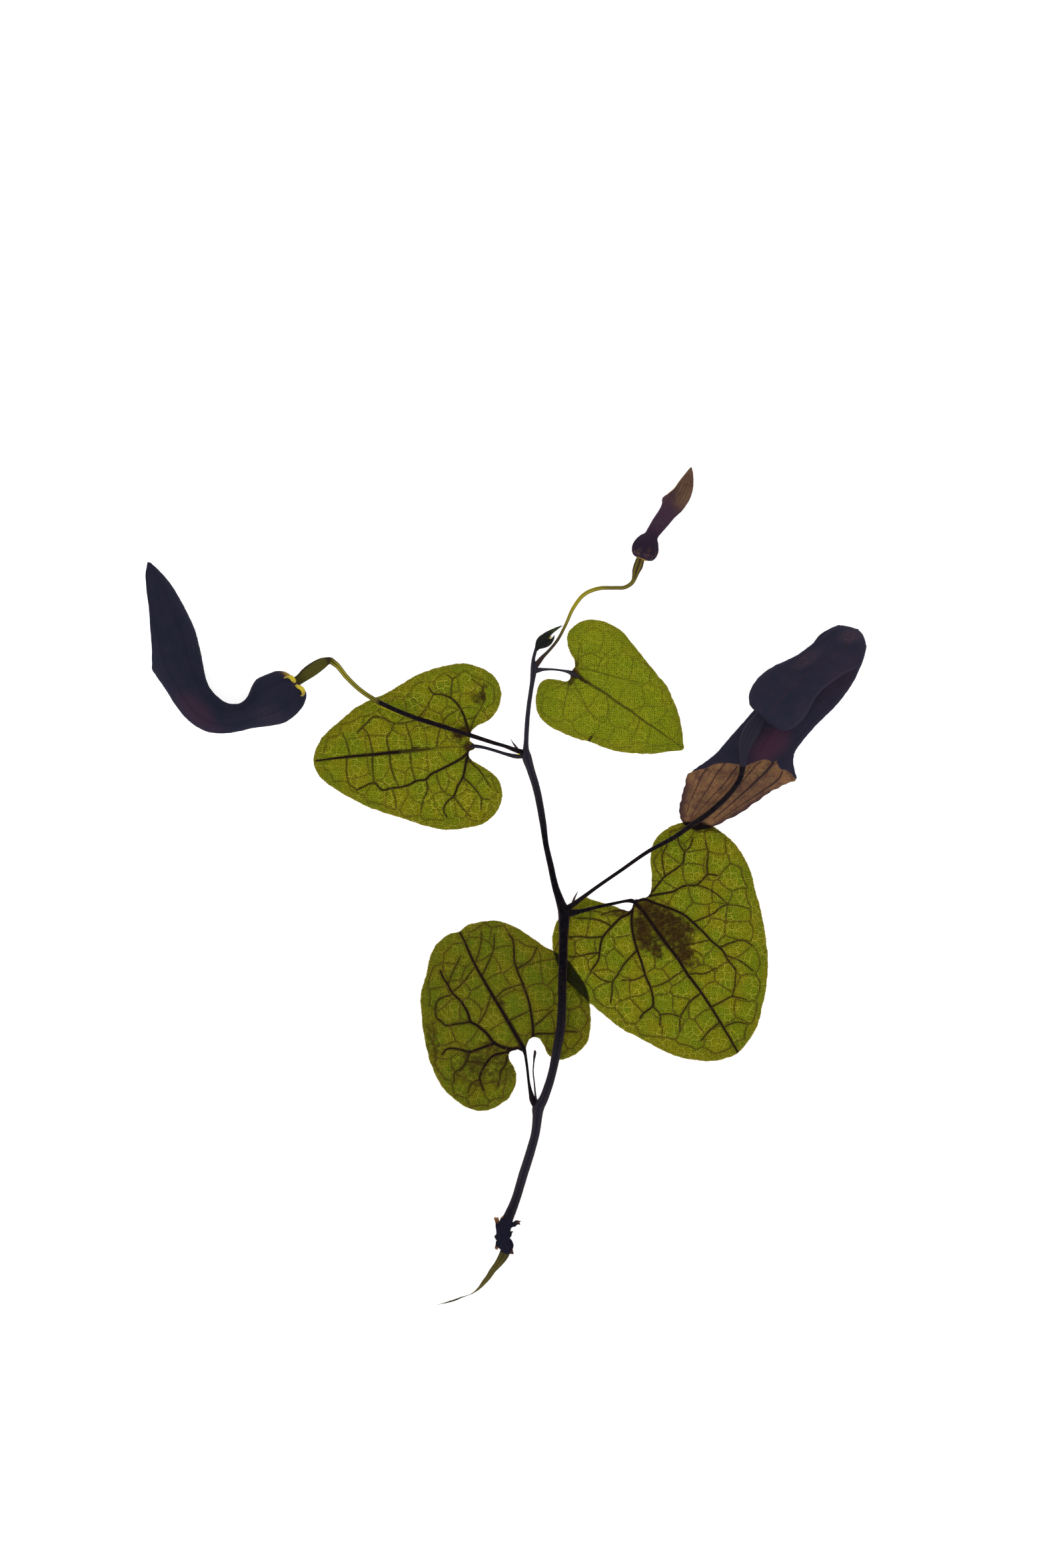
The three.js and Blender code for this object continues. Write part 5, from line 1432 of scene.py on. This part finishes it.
yellow_fold = fold_finish()
curls = [
    [(-39.2, 38.2, 0.3), (-39.5, 38.6, 0.42), (-39.85, 38.95, 0.4), (-40.3, 39.12, 0.3),
     (-40.75, 39.1, 0.24), (-41.15, 38.88, 0.14)],
    [(-38.9, 37.5, 0.24), (-38.5, 37.25, 0.34), (-38.05, 37, 0.38), (-37.72, 36.6, 0.4),
     (-37.62, 36.15, 0.36), (-37.75, 35.75, 0.28), (-38.05, 35.62, 0.14)],
]
left_skin = left_pipe[0]
fresh = ((0, 0.5), (0.15, 0), (0.5, 0), (0.75, 0.6), (1, 0.9))
curl_lines = [lay_on(curl, left_skin, 0.02) for curl in curls]
folds = [tube(line, 0.08, 54, 9, 0.1, 0.02, 0.5, 30, fresh) for line in curl_lines]
add_piece("left_pouch_folds", join_parts(folds), yellow_fold, "pipe_skin")

# %% [markdown]
# ## Top flower
#
# The youngest flower has the same form at a third of the size, a mottled round pouch and a lighter limb
# with parallel nerves.

# %% Top flower
top_rings = [
    (26.2, 60.9, 24.9, 61.35, 0.6, 180), (27.6, 60.95, 24.1, 62.1, 1.6, 180),
    (28.6, 62.3, 23.85, 63.3, 2.3, 180), (28.65, 63.9, 24.3, 64.5, 2.2, 180),
    (28.5, 64.9, 25.3, 65.6, 1.7, 180), (28.7, 65.4, 26.2, 66.1, 1.3, 180),
    (29.4, 66.2, 26.8, 67, 1.25, 180), (30.7, 67.7, 27.7, 68.6, 1.3, 180),
    (31.9, 69.1, 28.7, 70.1, 1.5, 180), (33.2, 70.3, 29.4, 71.5, 1.75, 180),
    (34, 71.4, 29.55, 72.7, 1.95, 180), (34.7, 72.6, 30.5, 73.45, 2, 150),
    (35.15, 74.1, 31.6, 74.4, 1.8, 140), (35.3, 75.6, 32.5, 75.6, 1.45, 130),
    (35.25, 77, 33.4, 76.8, 1, 120), (35.1, 77.9, 34.3, 77.9, 0.7, 110),
    (34.95, 78.45, 34.7, 78.35, 0.5, 100),
]
TOP_LEVEL = 2.45
top_rows = smooth_line(top_rings, 0.14)
fan = nerves(40, 3)


def top_relief(along, turn):
    pouch = 1 - soft_step(along, 0.22, 0.32)
    folds = 0.12 * np.cos(6 * turn + 1) * pouch * soft_step(along, 0.02, 0.1)
    return folds + 0.03 * fan(turn) * (1 - pouch) + 0.03 * ripple(along * 20, turn, 1.0)


points, faces, paint = pipe_skin(side_rings(top_rows, TOP_LEVEL), 200, 0.25, 0.6, top_relief)
share, turn = paint["share"], paint["turn"]
upper = soft_step(points[:, 1] + 0.55 * points[:, 0], 86.5, 91)
limb_part = upper * (0.45 + 0.55 * soft_step(points[:, 0] - 30.6 - 0.31 * (points[:, 1] - 68.9), -0.4, 1))
rim = soft_step(paint["edge"], 0.93, 0.99) * soft_step(share, 0.66, 0.72)
paint["brown"] = 0.95 * limb_part
paint["nerve"] = 0.7 * fan(turn) * upper
# Wine red on the tube: painted light, the glow of its thin wall.
paint["wine"] = 0.35 * (1 - upper) * soft_step(share, 0.25, 0.35)
paint["mottle"] = 0.35 * (1 - soft_step(share, 0.1, 0.2))
paint["haze"] = 0.3 * soft_step(share, 0.3, 0.4) * (1 - upper)
paint["black"] = 0.25 * (1 - soft_step(share, 0.18, 0.3)) * soft_step(share, 0.06, 0.16)
paint["yellow"] = 0.75 * (1 - soft_step(share, 0.012, 0.045)) * (1 - paint["inside"]) + 0.4 * rim
top_pipe = weld(points, faces, paint)
add_piece("fine_top_pipe", top_pipe, young_pipe, "pipe_skin", "top_pipe")

# %% [markdown]
# ## Right flower
#
# This flower is folded back: the pouch lies on top of its own wide tube, whose mouth faces the table.
# It is easier to build along its own axis and turn afterwards, so x runs along the flower and y across
# it. A ring is its two edges, its height, half of its thickness, how far the pipe has turned over (0 in
# the upper run, 180 in the lower one) and how far round its wall reaches. The upper run keeps one
# height, the bend is worked out from its angle, and the lower run ends in the open limb.

# %% Right flower rings
FLOWER_ANGLE = np.radians(51.7)
BEND_RADIUS = 3.15
BEND_CENTRE = (72.85, -22.0, 5.35)
POUCH_HEIGHT = 8.5


def bend_ring(fold, half_width, half):
    turn = np.radians(fold)
    x, y, z = BEND_CENTRE
    reach = x + BEND_RADIUS * np.sin(turn)
    return (reach, y + half_width, reach, y - half_width, z + BEND_RADIUS * np.cos(turn), half, fold, 180)


upper_run = [
    (54.6, -17, 54.3, -19.6, 1), (55, -14.8, 54.8, -22.4, 3), (56.8, -13.4, 56.6, -23.9, 4.2),
    (60, -13, 59.8, -24.3, 4.4), (63, -13.8, 63, -23.8, 4.1), (65.6, -15.1, 65.6, -23.8, 3.3),
    (68, -16.2, 68, -24.4, 2.3), (70.6, -16.9, 70.6, -25.2, 1.9),
]
bend = [(10, 4.4, 1.8), (45, 4, 1.8), (90, 3.7, 1.8), (135, 4.3, 1.8), (175, 4.9, 1.8)]
lower_run = [
    (70, -17.3, 70, -27.6, 2.2, 1.8, 180), (65, -16.6, 65, -27.7, 2.2, 1.85, 180),
    (59, -16.3, 59, -27, 2.2, 1.9, 180), (54.2, -16.2, 53.8, -27, 2.2, 1.95, 180),
    (50.6, -16, 52.4, -27.5, 2.2, 2, 180), (47, -15.8, 51.3, -28.3, 2.2, 2.05, 180),
    (43.6, -15.6, 50.4, -29.4, 2.2, 2.05, 180), (39.5, -14.5, 49.3, -30.4, 2.1, 2, 180),
    (37.6, -13.9, 47.2, -29.2, 1.8, 2, 130), (35.6, -14.9, 44.6, -28.2, 1.4, 2, 90),
    (33.8, -15.6, 41.8, -27.3, 1.1, 2, 80), (32.3, -16.2, 38.9, -26.4, 1, 1.8, 75),
    (31, -17.1, 36, -25.2, 1, 1.6, 72), (30.2, -18.3, 33.6, -24.2, 1, 1.4, 70),
    (29.95, -19.4, 31.6, -22.9, 1, 1.1, 70), (29.95, -20.2, 30.5, -21.9, 1, 0.9, 70),
]
right_rings = [(*edges, POUCH_HEIGHT, half, 0, 180) for *edges, half in upper_run]
right_rings += [bend_ring(*ring) for ring in bend]
right_rings += [(*ring, 180, reach) for *ring, reach in lower_run]


def fold_rings(rows):
    """Rings of the folded pipe, turned to their place on the table."""
    left, right = rows[:, 0:2], rows[:, 2:4]
    height, half, fold = rows[:, 4], rows[:, 5], np.radians(rows[:, 6])
    reach = np.radians(np.minimum(rows[:, 7], 180))
    zero = np.zeros(len(rows))
    centre = np.c_[(left + right) / 2, height]
    limb = np.c_[-np.sin(fold), zero, -np.cos(fold)] * half[:, None]
    side = np.c_[(right - left) / 2, zero] / np.sin(np.minimum(reach, np.pi / 2))[:, None]
    cos, sin = np.cos(FLOWER_ANGLE), np.sin(FLOWER_ANGLE)
    turned = np.array([(cos, sin, 0), (-sin, cos, 0), (0, 0, 1)])
    return centre @ turned, limb @ turned, side @ turned, reach


# %% [markdown]
# ## The fan on the brown limb
#
# The brown layer ends in two scallops where the dark second layer of the tube begins. That border is
# painted, as it is seen from above: a point is brown if it lies on the lower run, below the scalloped
# line. The dark nerves that fan out over the brown are painted too. The first six are the strongest and
# stand a little above the skin, so each of them is also a thin flat roll laid on it, like the yellow
# folds.

# %% Right flower
scallop_x, scallop_y = np.array([
    (32, 21), (35.2, 21.4), (36.3, 21.8), (37.7, 22.05), (38.9, 22.7), (40.2, 23), (41.4, 23),
    (42.7, 22.9), (43.7, 22.7), (44.6, 22.3), (45.6, 22.7), (46.8, 23.2), (47.7, 23.5), (48.7, 23.7),
    (49.5, 23.5), (50, 23.1), (50.8, 23.4), (51.05, 22.8), (51.3, 22.2), (51.8, 21.8), (52.7, 21.7),
    (53.4, 21.3), (53.9, 20.75), (54.4, 20.1), (55.5, 19.5),
]).T
fan_nerves = [
    (0.16, 0.08, [(37.8, 21.9), (36.9, 20.8), (36, 18.7), (35.35, 17.2), (34.6, 15.5), (34.1, 13.8)]),
    (0.18, 0.08, [(41.1, 22.8), (40.2, 21.7), (39.2, 20.3), (38.2, 18.5), (37.3, 17.2), (36.1, 15.2),
        (34.9, 13)]),
    (0.18, 0.08, [(43.5, 22.4), (42.5, 21.1), (41.5, 19.7), (40.5, 18.5), (39.2, 17.2), (37.7, 15.5),
        (35.6, 13)]),
    (0.16, 0.08, [(47.9, 23.2), (46.9, 22.6), (45.9, 21.3), (45, 20.2), (43.4, 18.2), (41, 15.4),
        (38.9, 13.6)]),
    (0.5, 0.14, [(50.2, 23), (49.3, 21.9), (48.6, 21.1), (47.3, 19.9), (46, 18.6), (44.4, 17.2),
        (42.7, 15.7), (40.9, 14.1), (39.1, 12.5)]),
    (0.2, 0.1, [(51.9, 21.4), (51.5, 20.5), (50.8, 19.6), (48.9, 18.2), (45.6, 16), (42.4, 13.9),
        (39.9, 12)]),
    (0.14, 0.1, [(47.1, 19.6), (48.1, 18.5), (48.3, 17.6), (48.2, 16.9)]),
    (0.12, 0.1, [(52.9, 21.2), (52.6, 20.4), (52.9, 19.8)]),
    (0.12, 0.1, [(36.2, 21.3), (35.5, 20), (34.9, 18), (34.2, 16)]),
    (0.12, 0.1, [(39.3, 22.4), (38.2, 20.9), (37, 18.8), (35.7, 16.2)]),
    (0.12, 0.1, [(45.9, 22.4), (44.9, 20.9)]),
    (0.12, 0.1, [(43.3, 20.9), (42, 19), (40.2, 16.9), (38, 14.8), (36.4, 13.2)]),
    (0.12, 0.1, [(44.9, 16.9), (43.2, 15.1), (40.8, 13.2), (39.2, 11.9)]),
]


LOWER_RUN_TOP = 4.6
LIMB_STARTS, LIMB_OPEN = 0.78, 0.84
BULGE, BULGE_WIDTH, BULGE_MIDDLE = 0.8, 2.3, -22.6


def right_relief(along, turn):
    pouch = 1 - soft_step(along, 0.16, 0.24)
    strong = 0.1 * six_nerves(turn) * soft_step(along, 0.01, 0.06) * (1 - soft_step(along, 0.7, 0.8))
    puckers = 0.05 * ripple(along * 90, turn, 3.0) + 0.02 * np.sin(along * 240 + 3 * turn) * pouch
    return strong + puckers + 0.03 * many_nerves(turn)


right_rows = smooth_line(right_rings, 0.3)
number = np.arange(len(right_rows))
in_limb = soft_step(number / len(number), LIMB_STARTS, LIMB_OPEN)
for column, phase in ((1, 0), (3, 2.6)):
    wobble = np.sin(number * 0.71 + phase) + np.sin(number * 1.37 - phase) + np.sin(number * 0.29)
    right_rows[:, column] += 0.07 * wobble * in_limb
points, faces, paint = pipe_skin(fold_rings(right_rows), 180, 0.4, 0.55, right_relief)
axis = np.array([np.cos(FLOWER_ANGLE), np.sin(FLOWER_ANGLE)])
forward, across = points[:, :2] @ axis, points[:, :2] @ (-axis[1], axis[0])
bulge = np.exp(-(((across - BULGE_MIDDLE) / BULGE_WIDTH) ** 2))
bulge = BULGE * soft_step(forward, 75, 77.6) * bulge
points[:, :2] += bulge[:, None] * axis
flat = points[:, :2]
lower = soft_step(LOWER_RUN_TOP - points[:, 2], 0, 0.3)
below_line = np.interp(flat[:, 0], scallop_x, scallop_y) - flat[:, 1]
paint["brown"] = soft_step(below_line, -0.08, 0.08) * lower
turn = paint["turn"]
paint["nerve"] = (1 - paint["brown"]) * (0.12 * six_nerves(turn) + 0.1 * many_nerves(turn))
# Wine red here is painted light: a window where the thin lower run glows, and a faint patch beyond it.
window = 0.7 * spot(points, 49.5, 26.3, 5.5, 3.2, 40) * lower
paint["wine"] = np.maximum(window, 0.15 * spot(points, 62.5, 38.5, 6, 2.6, 52))
paint["haze"] = 0.4 * spot(points, 56.2, 42.3, 4.2, 1.4, 35)
paint["haze"] = np.maximum(paint["haze"], 0.6 * spot(points, 64.4, 46.6, 2.8, 1.6, 10))
specks = np.maximum(0.35 * spot(points, 33.6, 16, 1.5, 5, 5), 0.4 * spot(points, 48, 20.5, 4, 2.4))
paint["mottle"] = specks * paint["brown"]
near_edge = soft_step(paint["edge"], 0.5, 0.88)
shade = np.maximum(0.9 * near_edge, 0.35 * spot(points, 47.5, 18.5, 6, 3, 35))
paint["nerve"] = np.maximum(paint["nerve"], shade * paint["brown"])
# Painted shade: near black where the limb lies over the right leaf, for the light lost through both.
leaf_edge = smooth_line(right_leaf["outline"], 0.5, closed=True)
paint["black"] = 0.97 * lower * soft_step(depth_inside(flat, leaf_edge), -0.15, 0.15)
for wide, narrow, line in fan_nerves:
    away, along = distance_to(flat, smooth_line(line, 0.5))
    half = (wide + (narrow - wide) * along) / 2
    drawn = (0.9 - 0.5 * along) * (1 - soft_step(away, 0.4 * half, half + 0.07)) * paint["brown"]
    paint["nerve"] = np.maximum(paint["nerve"], drawn)
paint["yellow"] = np.zeros(len(points))
right_pipe = weld(points, faces, paint)
add_piece("fine_right_pipe", right_pipe, folded_pipe, "pipe_skin", "right_pipe")

nerve_skin = stalk_finish("nerve_skin", "33262a", "44302e", "543c32", "44322e")
right_skin = right_pipe[0]
lower_skin = right_skin[right_skin[:, 2] < LOWER_RUN_TOP]
fan_parts = []
fading = ((0, 0), (0.35, 0.15), (1, 1))
for wide, narrow, line in fan_nerves[:6]:
    line = smooth_line(line, 0.5)
    line = np.c_[line, np.linspace(wide, narrow, len(line)) / 2]
    fan_parts.append(tube(lay_on(line, lower_skin, -0.05), 0.15, 12, 3, 0.1, 0.01, 0.5, fresh=fading))
add_piece("limb_nerves", join_parts(fan_parts), nerve_skin, "pipe_skin")

# %% [markdown]
# ## The young leaf, and the small parts at the joints
#
# The tip of the shoot is a leaf that hasn't opened: one long folded lobe, one short one, one between
# them, and a small yellow bud in the gap. Thin spikes stand in two leaf axils, with a tiny yellow bud
# beside the upper one, a tiny bract hugs the top flower's stalk, and the dry stalk of a fallen flower is
# left at the lowest joint. All of them are short, mostly flattened tubes.


# %% Young leaf
def young_leaf_finish():
    skin = Finish("young_leaf_skin")
    grain = skin.noise(0.3, 3.0)
    skin.start(skin.rise(grain, 0.4, 0.7), "131218", "20241b")
    skin.lay(skin.painted("fresh"), "343d23")
    # Painted light: the edges are brown where light passes through them, as on the stem.
    skin.lay(skin.rise(skin.painted("side"), 0.85, 1.0, 0.7), "4d3226")
    return skin.done(0.6, grain, depth=0.05, gloss=0.04, fuzz=0.05)


young_leaf_skin = young_leaf_finish()
long_lobe = tube(
    [(5.95, 44.3, 1.2, 0.32), (6.2, 45, 1.2, 0.6), (6.7, 45.9, 1.25, 0.85), (7.6, 46.8, 1.35, 0.72),
     (8.6, 47.6, 1.45, 0.46), (9.7, 48.25, 1.6, 0.28), (10.5, 48.65, 1.7, 0.12),
     (10.85, 48.78, 1.75, 0.03)],
    0.12, 28, 3, 0.08, 0.03, 0.55, 25, ((0, 0), (0.55, 0.1), (0.75, 0.9), (0.92, 0.3), (1, 0)),
)
short_lobe = tube(
    [(6.4, 44.7, 1.2, 0.3), (7.3, 45.1, 1.15, 0.5), (8.1, 45.5, 1.1, 0.52), (8.7, 46, 1.1, 0.36),
     (9.08, 46.5, 1.15, 0.2), (9.25, 47.05, 1.2, 0.03)],
    0.12, 28, 3, 0.08, 0.03, 0.6, -20, ((0, 0), (1, 0.25)),
)
middle_lobe = tube(
    [(6.6, 45.2, 1.25, 0.4), (7.4, 45.8, 1.3, 0.55), (8.1, 46.2, 1.3, 0.35), (8.5, 46.5, 1.3, 0.1)],
    0.12, 24, 3, 0.08, 0.03, 0.7,
)
young = join_parts([long_lobe, short_lobe, middle_lobe])
add_piece("fine_young_leaf", young, young_leaf_skin, "young_leaf_skin", "young_leaf")
bud_line = [(8.35, 46.4, 1.4, 0.1), (8.52, 46.58, 1.45, 0.14), (8.72, 46.82, 1.5, 0.05)]
bud = tube(bud_line, 0.04, 16, fresh=((0, 1), (1, 1)))
add_piece("tip_bud", bud, pale_stalk_skin, "young_leaf_skin")

# %% Small parts at the joints
bract_line = [
    (7.35, 42.95, 1.25, 0.14), (7.56, 43.2, 1.32, 0.15), (7.54, 43.45, 1.38, 0.08),
    (7.47, 43.7, 1.42, 0.02),
]
bract = tube(bract_line, 0.05, 16, 3, 0.1, 0.01, 0.6)
add_piece("top_stalk_bract", bract, pale_stalk_skin, "stem_bark")
axil_bud = tube([(3, 24.75, 1.5, 0.12), (2.6, 24.62, 1.5, 0.2), (2.2, 24.62, 1.5, 0.06)], 0.05, 16)
add_piece("axil_bud", axil_bud, yellow_fold, "stem_bark")
spike_lines = {
    "second": [
        (12.6, -3.5, 3.1, 0.24), (13, -2.3, 3.2, 0.17), (13.35, -1.6, 3.2, 0.12),
        (13.55, -1.2, 3.22, 0.06), (13.72, -0.85, 3.25, 0.02),
    ],
    "third": [
        (2.5, 25.4, 1.8, 0.24), (1.85, 26.35, 1.95, 0.17), (1.45, 26.9, 2, 0.1), (1.05, 27.6, 2.05, 0.02),
    ],
}
for joint, line in spike_lines.items():
    spike = tube(line, 0.08, 14, 2, 0.1, 0.01, 0.6, fresh=((0, 0), (0.5, 0.2), (1, 0.9)))
    add_piece(f"fine_{joint}_spike", spike, dry_stalk_skin, "dry_bark", joint + "_joint_spike")
dry_stalk_line = [
    (6.15, -41.3, 1.6, 0.22), (5.72, -39.3, 1.7, 0.17), (5.55, -37.4, 1.75, 0.14), (5.3, -35, 1.6, 0.13),
    (5.4, -33, 1.3, 0.15), (5.5, -32.1, 1.15, 0.22), (5.62, -31.2, 1, 0.25), (5.58, -30.9, 0.98, 0.16),
]
dry_stalk = tube(dry_stalk_line, 0.1, 16, 3, 0.12, 0.025)
add_piece("fine_dry_stalk", dry_stalk, dry_stalk_skin, "dry_bark", "dry_flower_stalk")

# %% [markdown]
# ## The torn base and the withered tail
#
# Flakes of bark stand off the torn end, warm brown with paler tips. Their torn outlines are what the eye
# sees, so each one is a thin plate that fills its outline, as a leaf does, and rises away from the stem.
# Stripes along it are its fibres. A withered shoot trails from the end: a flat olive ribbon that twists
# to a thread and ends in a brown tip.


# %% Bark flakes
FLAKE_THICKNESS = 0.2
FIBRES = 28


def flake(root, low, high, pale_tip, outline):
    """A plate that fills an outline, from the height low at its root to high at its far end."""
    margin = smooth_line(outline, 0.07, closed=True)
    grid = even_grid(margin, 0.11)
    grid = grid[depth_inside(grid, margin) > 0.05]
    flat, triangles, edges = fill_outline(np.vstack([margin, grid]), len(margin))
    from_root = flat - root
    far = length(from_root)
    heading = from_root[far.argmax()] / far.max()
    across = from_root @ (-heading[1], heading[0])
    away, _ = distance_to(flat, np.vstack([margin, margin[:1]]))
    middle = low + (high - low) * (far / far.max()) ** 1.5
    middle = middle + 0.05 * np.sin(across * 9) + 0.04 * np.sin(far * 7 + across * 4)
    half = FLAKE_THICKNESS / 2 * (0.2 + 0.8 * soft_step(away, 0, 0.2)) + 0.02 * np.cos(across * FIBRES)
    paint = {
        "side": np.zeros(len(flat)),
        "rib": (np.cos(across * FIBRES) + 1) / 2,
        "fresh": pale_tip * soft_step(far / far.max(), 0.5, 0.95),
    }
    return closed_sheet(flat, middle + half, middle - half, triangles, edges, paint)


flakes = [
    ("left", (-0.9, -65), 1.6, 2.15, 0.9, [
        (-1.1, -65), (-1, -64.1), (-0.73, -63.2), (-0.8, -62.85), (-1, -62.72), (-1.14, -62.47),
        (-1.18, -62.16), (-1.4, -62.03), (-1.55, -62.12), (-1.7, -62.04), (-1.89, -62.04),
        (-2.03, -62.16), (-2.06, -62.34), (-1.91, -62.74), (-1.78, -63.2), (-1.76, -63.9),
        (-1.65, -64.5), (-1.54, -65.15),
    ]),
    ("left", (-0.5, -63), 1.7, 2.15, 1.0, [
        (-0.5, -62.95), (-0.33, -62.4), (-0.24, -62.07), (-0.42, -61.9), (-0.64, -61.98),
        (-0.82, -62.25), (-0.9, -62.5), (-0.75, -62.83),
    ]),
    ("right", (0.6, -64), 1.5, 1.95, 0.3, [
        (1.59, -62.96), (1.86, -62.72), (2.17, -62.63), (2.48, -62.65), (2.75, -62.72), (3.03, -62.71),
        (3.06, -62.81), (2.88, -62.92), (2.75, -62.99), (2.84, -63.19), (2.89, -63.32), (2.82, -63.56),
        (2.66, -63.45), (2.48, -63.44), (2.21, -63.59), (1.94, -63.86), (1.59, -63.9), (1.23, -64.08),
        (1, -64.5), (0.43, -64.3), (0.6, -63.4), (1.2, -63),
    ]),
    ("right", (0.4, -65.5), 1.4, 1.5, 0.15, [
        (1, -64.66), (1.32, -64.72), (1.59, -64.69), (1.5, -64.88), (1.34, -65.08), (1.28, -65.28),
        (1.34, -65.35), (1.23, -65.55), (1.05, -65.86), (0.86, -66.1), (0.34, -65.86), (0.43, -64.8),
    ]),
    ("low", (0.4, -66.8), 1.5, 1.2, 0.25, [
        (0.87, -66.11), (1.14, -66.22), (1.36, -66.49), (1.54, -66.94), (1.63, -67.2), (1.61, -67.65),
        (1.5, -68), (1.52, -68.36), (1.63, -68.68), (1.66, -68.9), (1.54, -69.06), (1.32, -69.03),
        (1.05, -68.99), (0.78, -68.99), (0.3, -68.6), (0.1, -67.65), (0.4, -67.1), (0.5, -66.75),
        (0.5, -66.4),
    ]),
    ("low_left", (-1.1, -66.6), 1.4, 1.1, 1.0, [
        (-1.63, -66.49), (-1.72, -66.94), (-1.81, -67.47), (-1.94, -67.96), (-1.81, -68.01),
        (-1.73, -68.23), (-1.58, -68.14), (-1.49, -68.23), (-1.31, -68.1), (-1.23, -67.83),
        (-1.14, -67.96), (-0.91, -67.87), (-0.8, -67.5), (-0.7, -67.1), (-0.9, -66.6),
    ]),
    ("low_left", (-1.1, -65.8), 1.5, 1.5, 0.2, [
        (-1.5, -65.2), (-1.85, -65.46), (-2, -65.64), (-1.97, -65.82), (-1.8, -66.13), (-1.6, -66.4),
        (-1.1, -66.2), (-1.2, -65.4),
    ]),
]
for name in ("left", "right", "low", "low_left"):
    plates = join_parts([flake(*numbers) for place, *numbers in flakes if place == name])
    add_piece("fine_bark_scale_" + name, plates, torn_bark, "dry_bark", "bark_scale_" + name)

# %% Withered tail
tail_line = [
    (0.25, -67.7, 1.1, 0.8), (-0.1, -69, 1.05, 0.92), (-0.78, -70.2, 1, 0.82), (-1.55, -71.2, 0.95, 0.7),
    (-2.3, -72.1, 0.85, 0.64), (-3.1, -73.3, 0.75, 0.62), (-4.05, -74.5, 0.62, 0.56),
    (-4.8, -75.4, 0.5, 0.4), (-5.85, -76.25, 0.42, 0.2), (-7, -76.8, 0.4, 0.12), (-8.1, -77.15, 0.4, 0.22),
    (-9.2, -77.6, 0.4, 0.3), (-10.3, -77.95, 0.36, 0.27), (-11.4, -78.25, 0.32, 0.15),
    (-12.2, -78.45, 0.3, 0.07), (-13, -78.6, 0.28, 0.025),
]
tail_shades = ((0, 0.1), (0.2, 0.3), (0.6, 0.5), (0.75, 0), (0.93, 0.2), (1, 1))
tail = tube(tail_line, 0.14, 40, 7, 0.06, 0.03, 0.5, 120, tail_shades)
add_piece("fine_withered_tail", tail, withered_skin, "withered_skin", "withered_tail")

# %% [markdown]
# ## Finish
#
# The view layer is updated once more, so that every new piece stands in its place.

# %% Finish
bpy.context.view_layer.update()
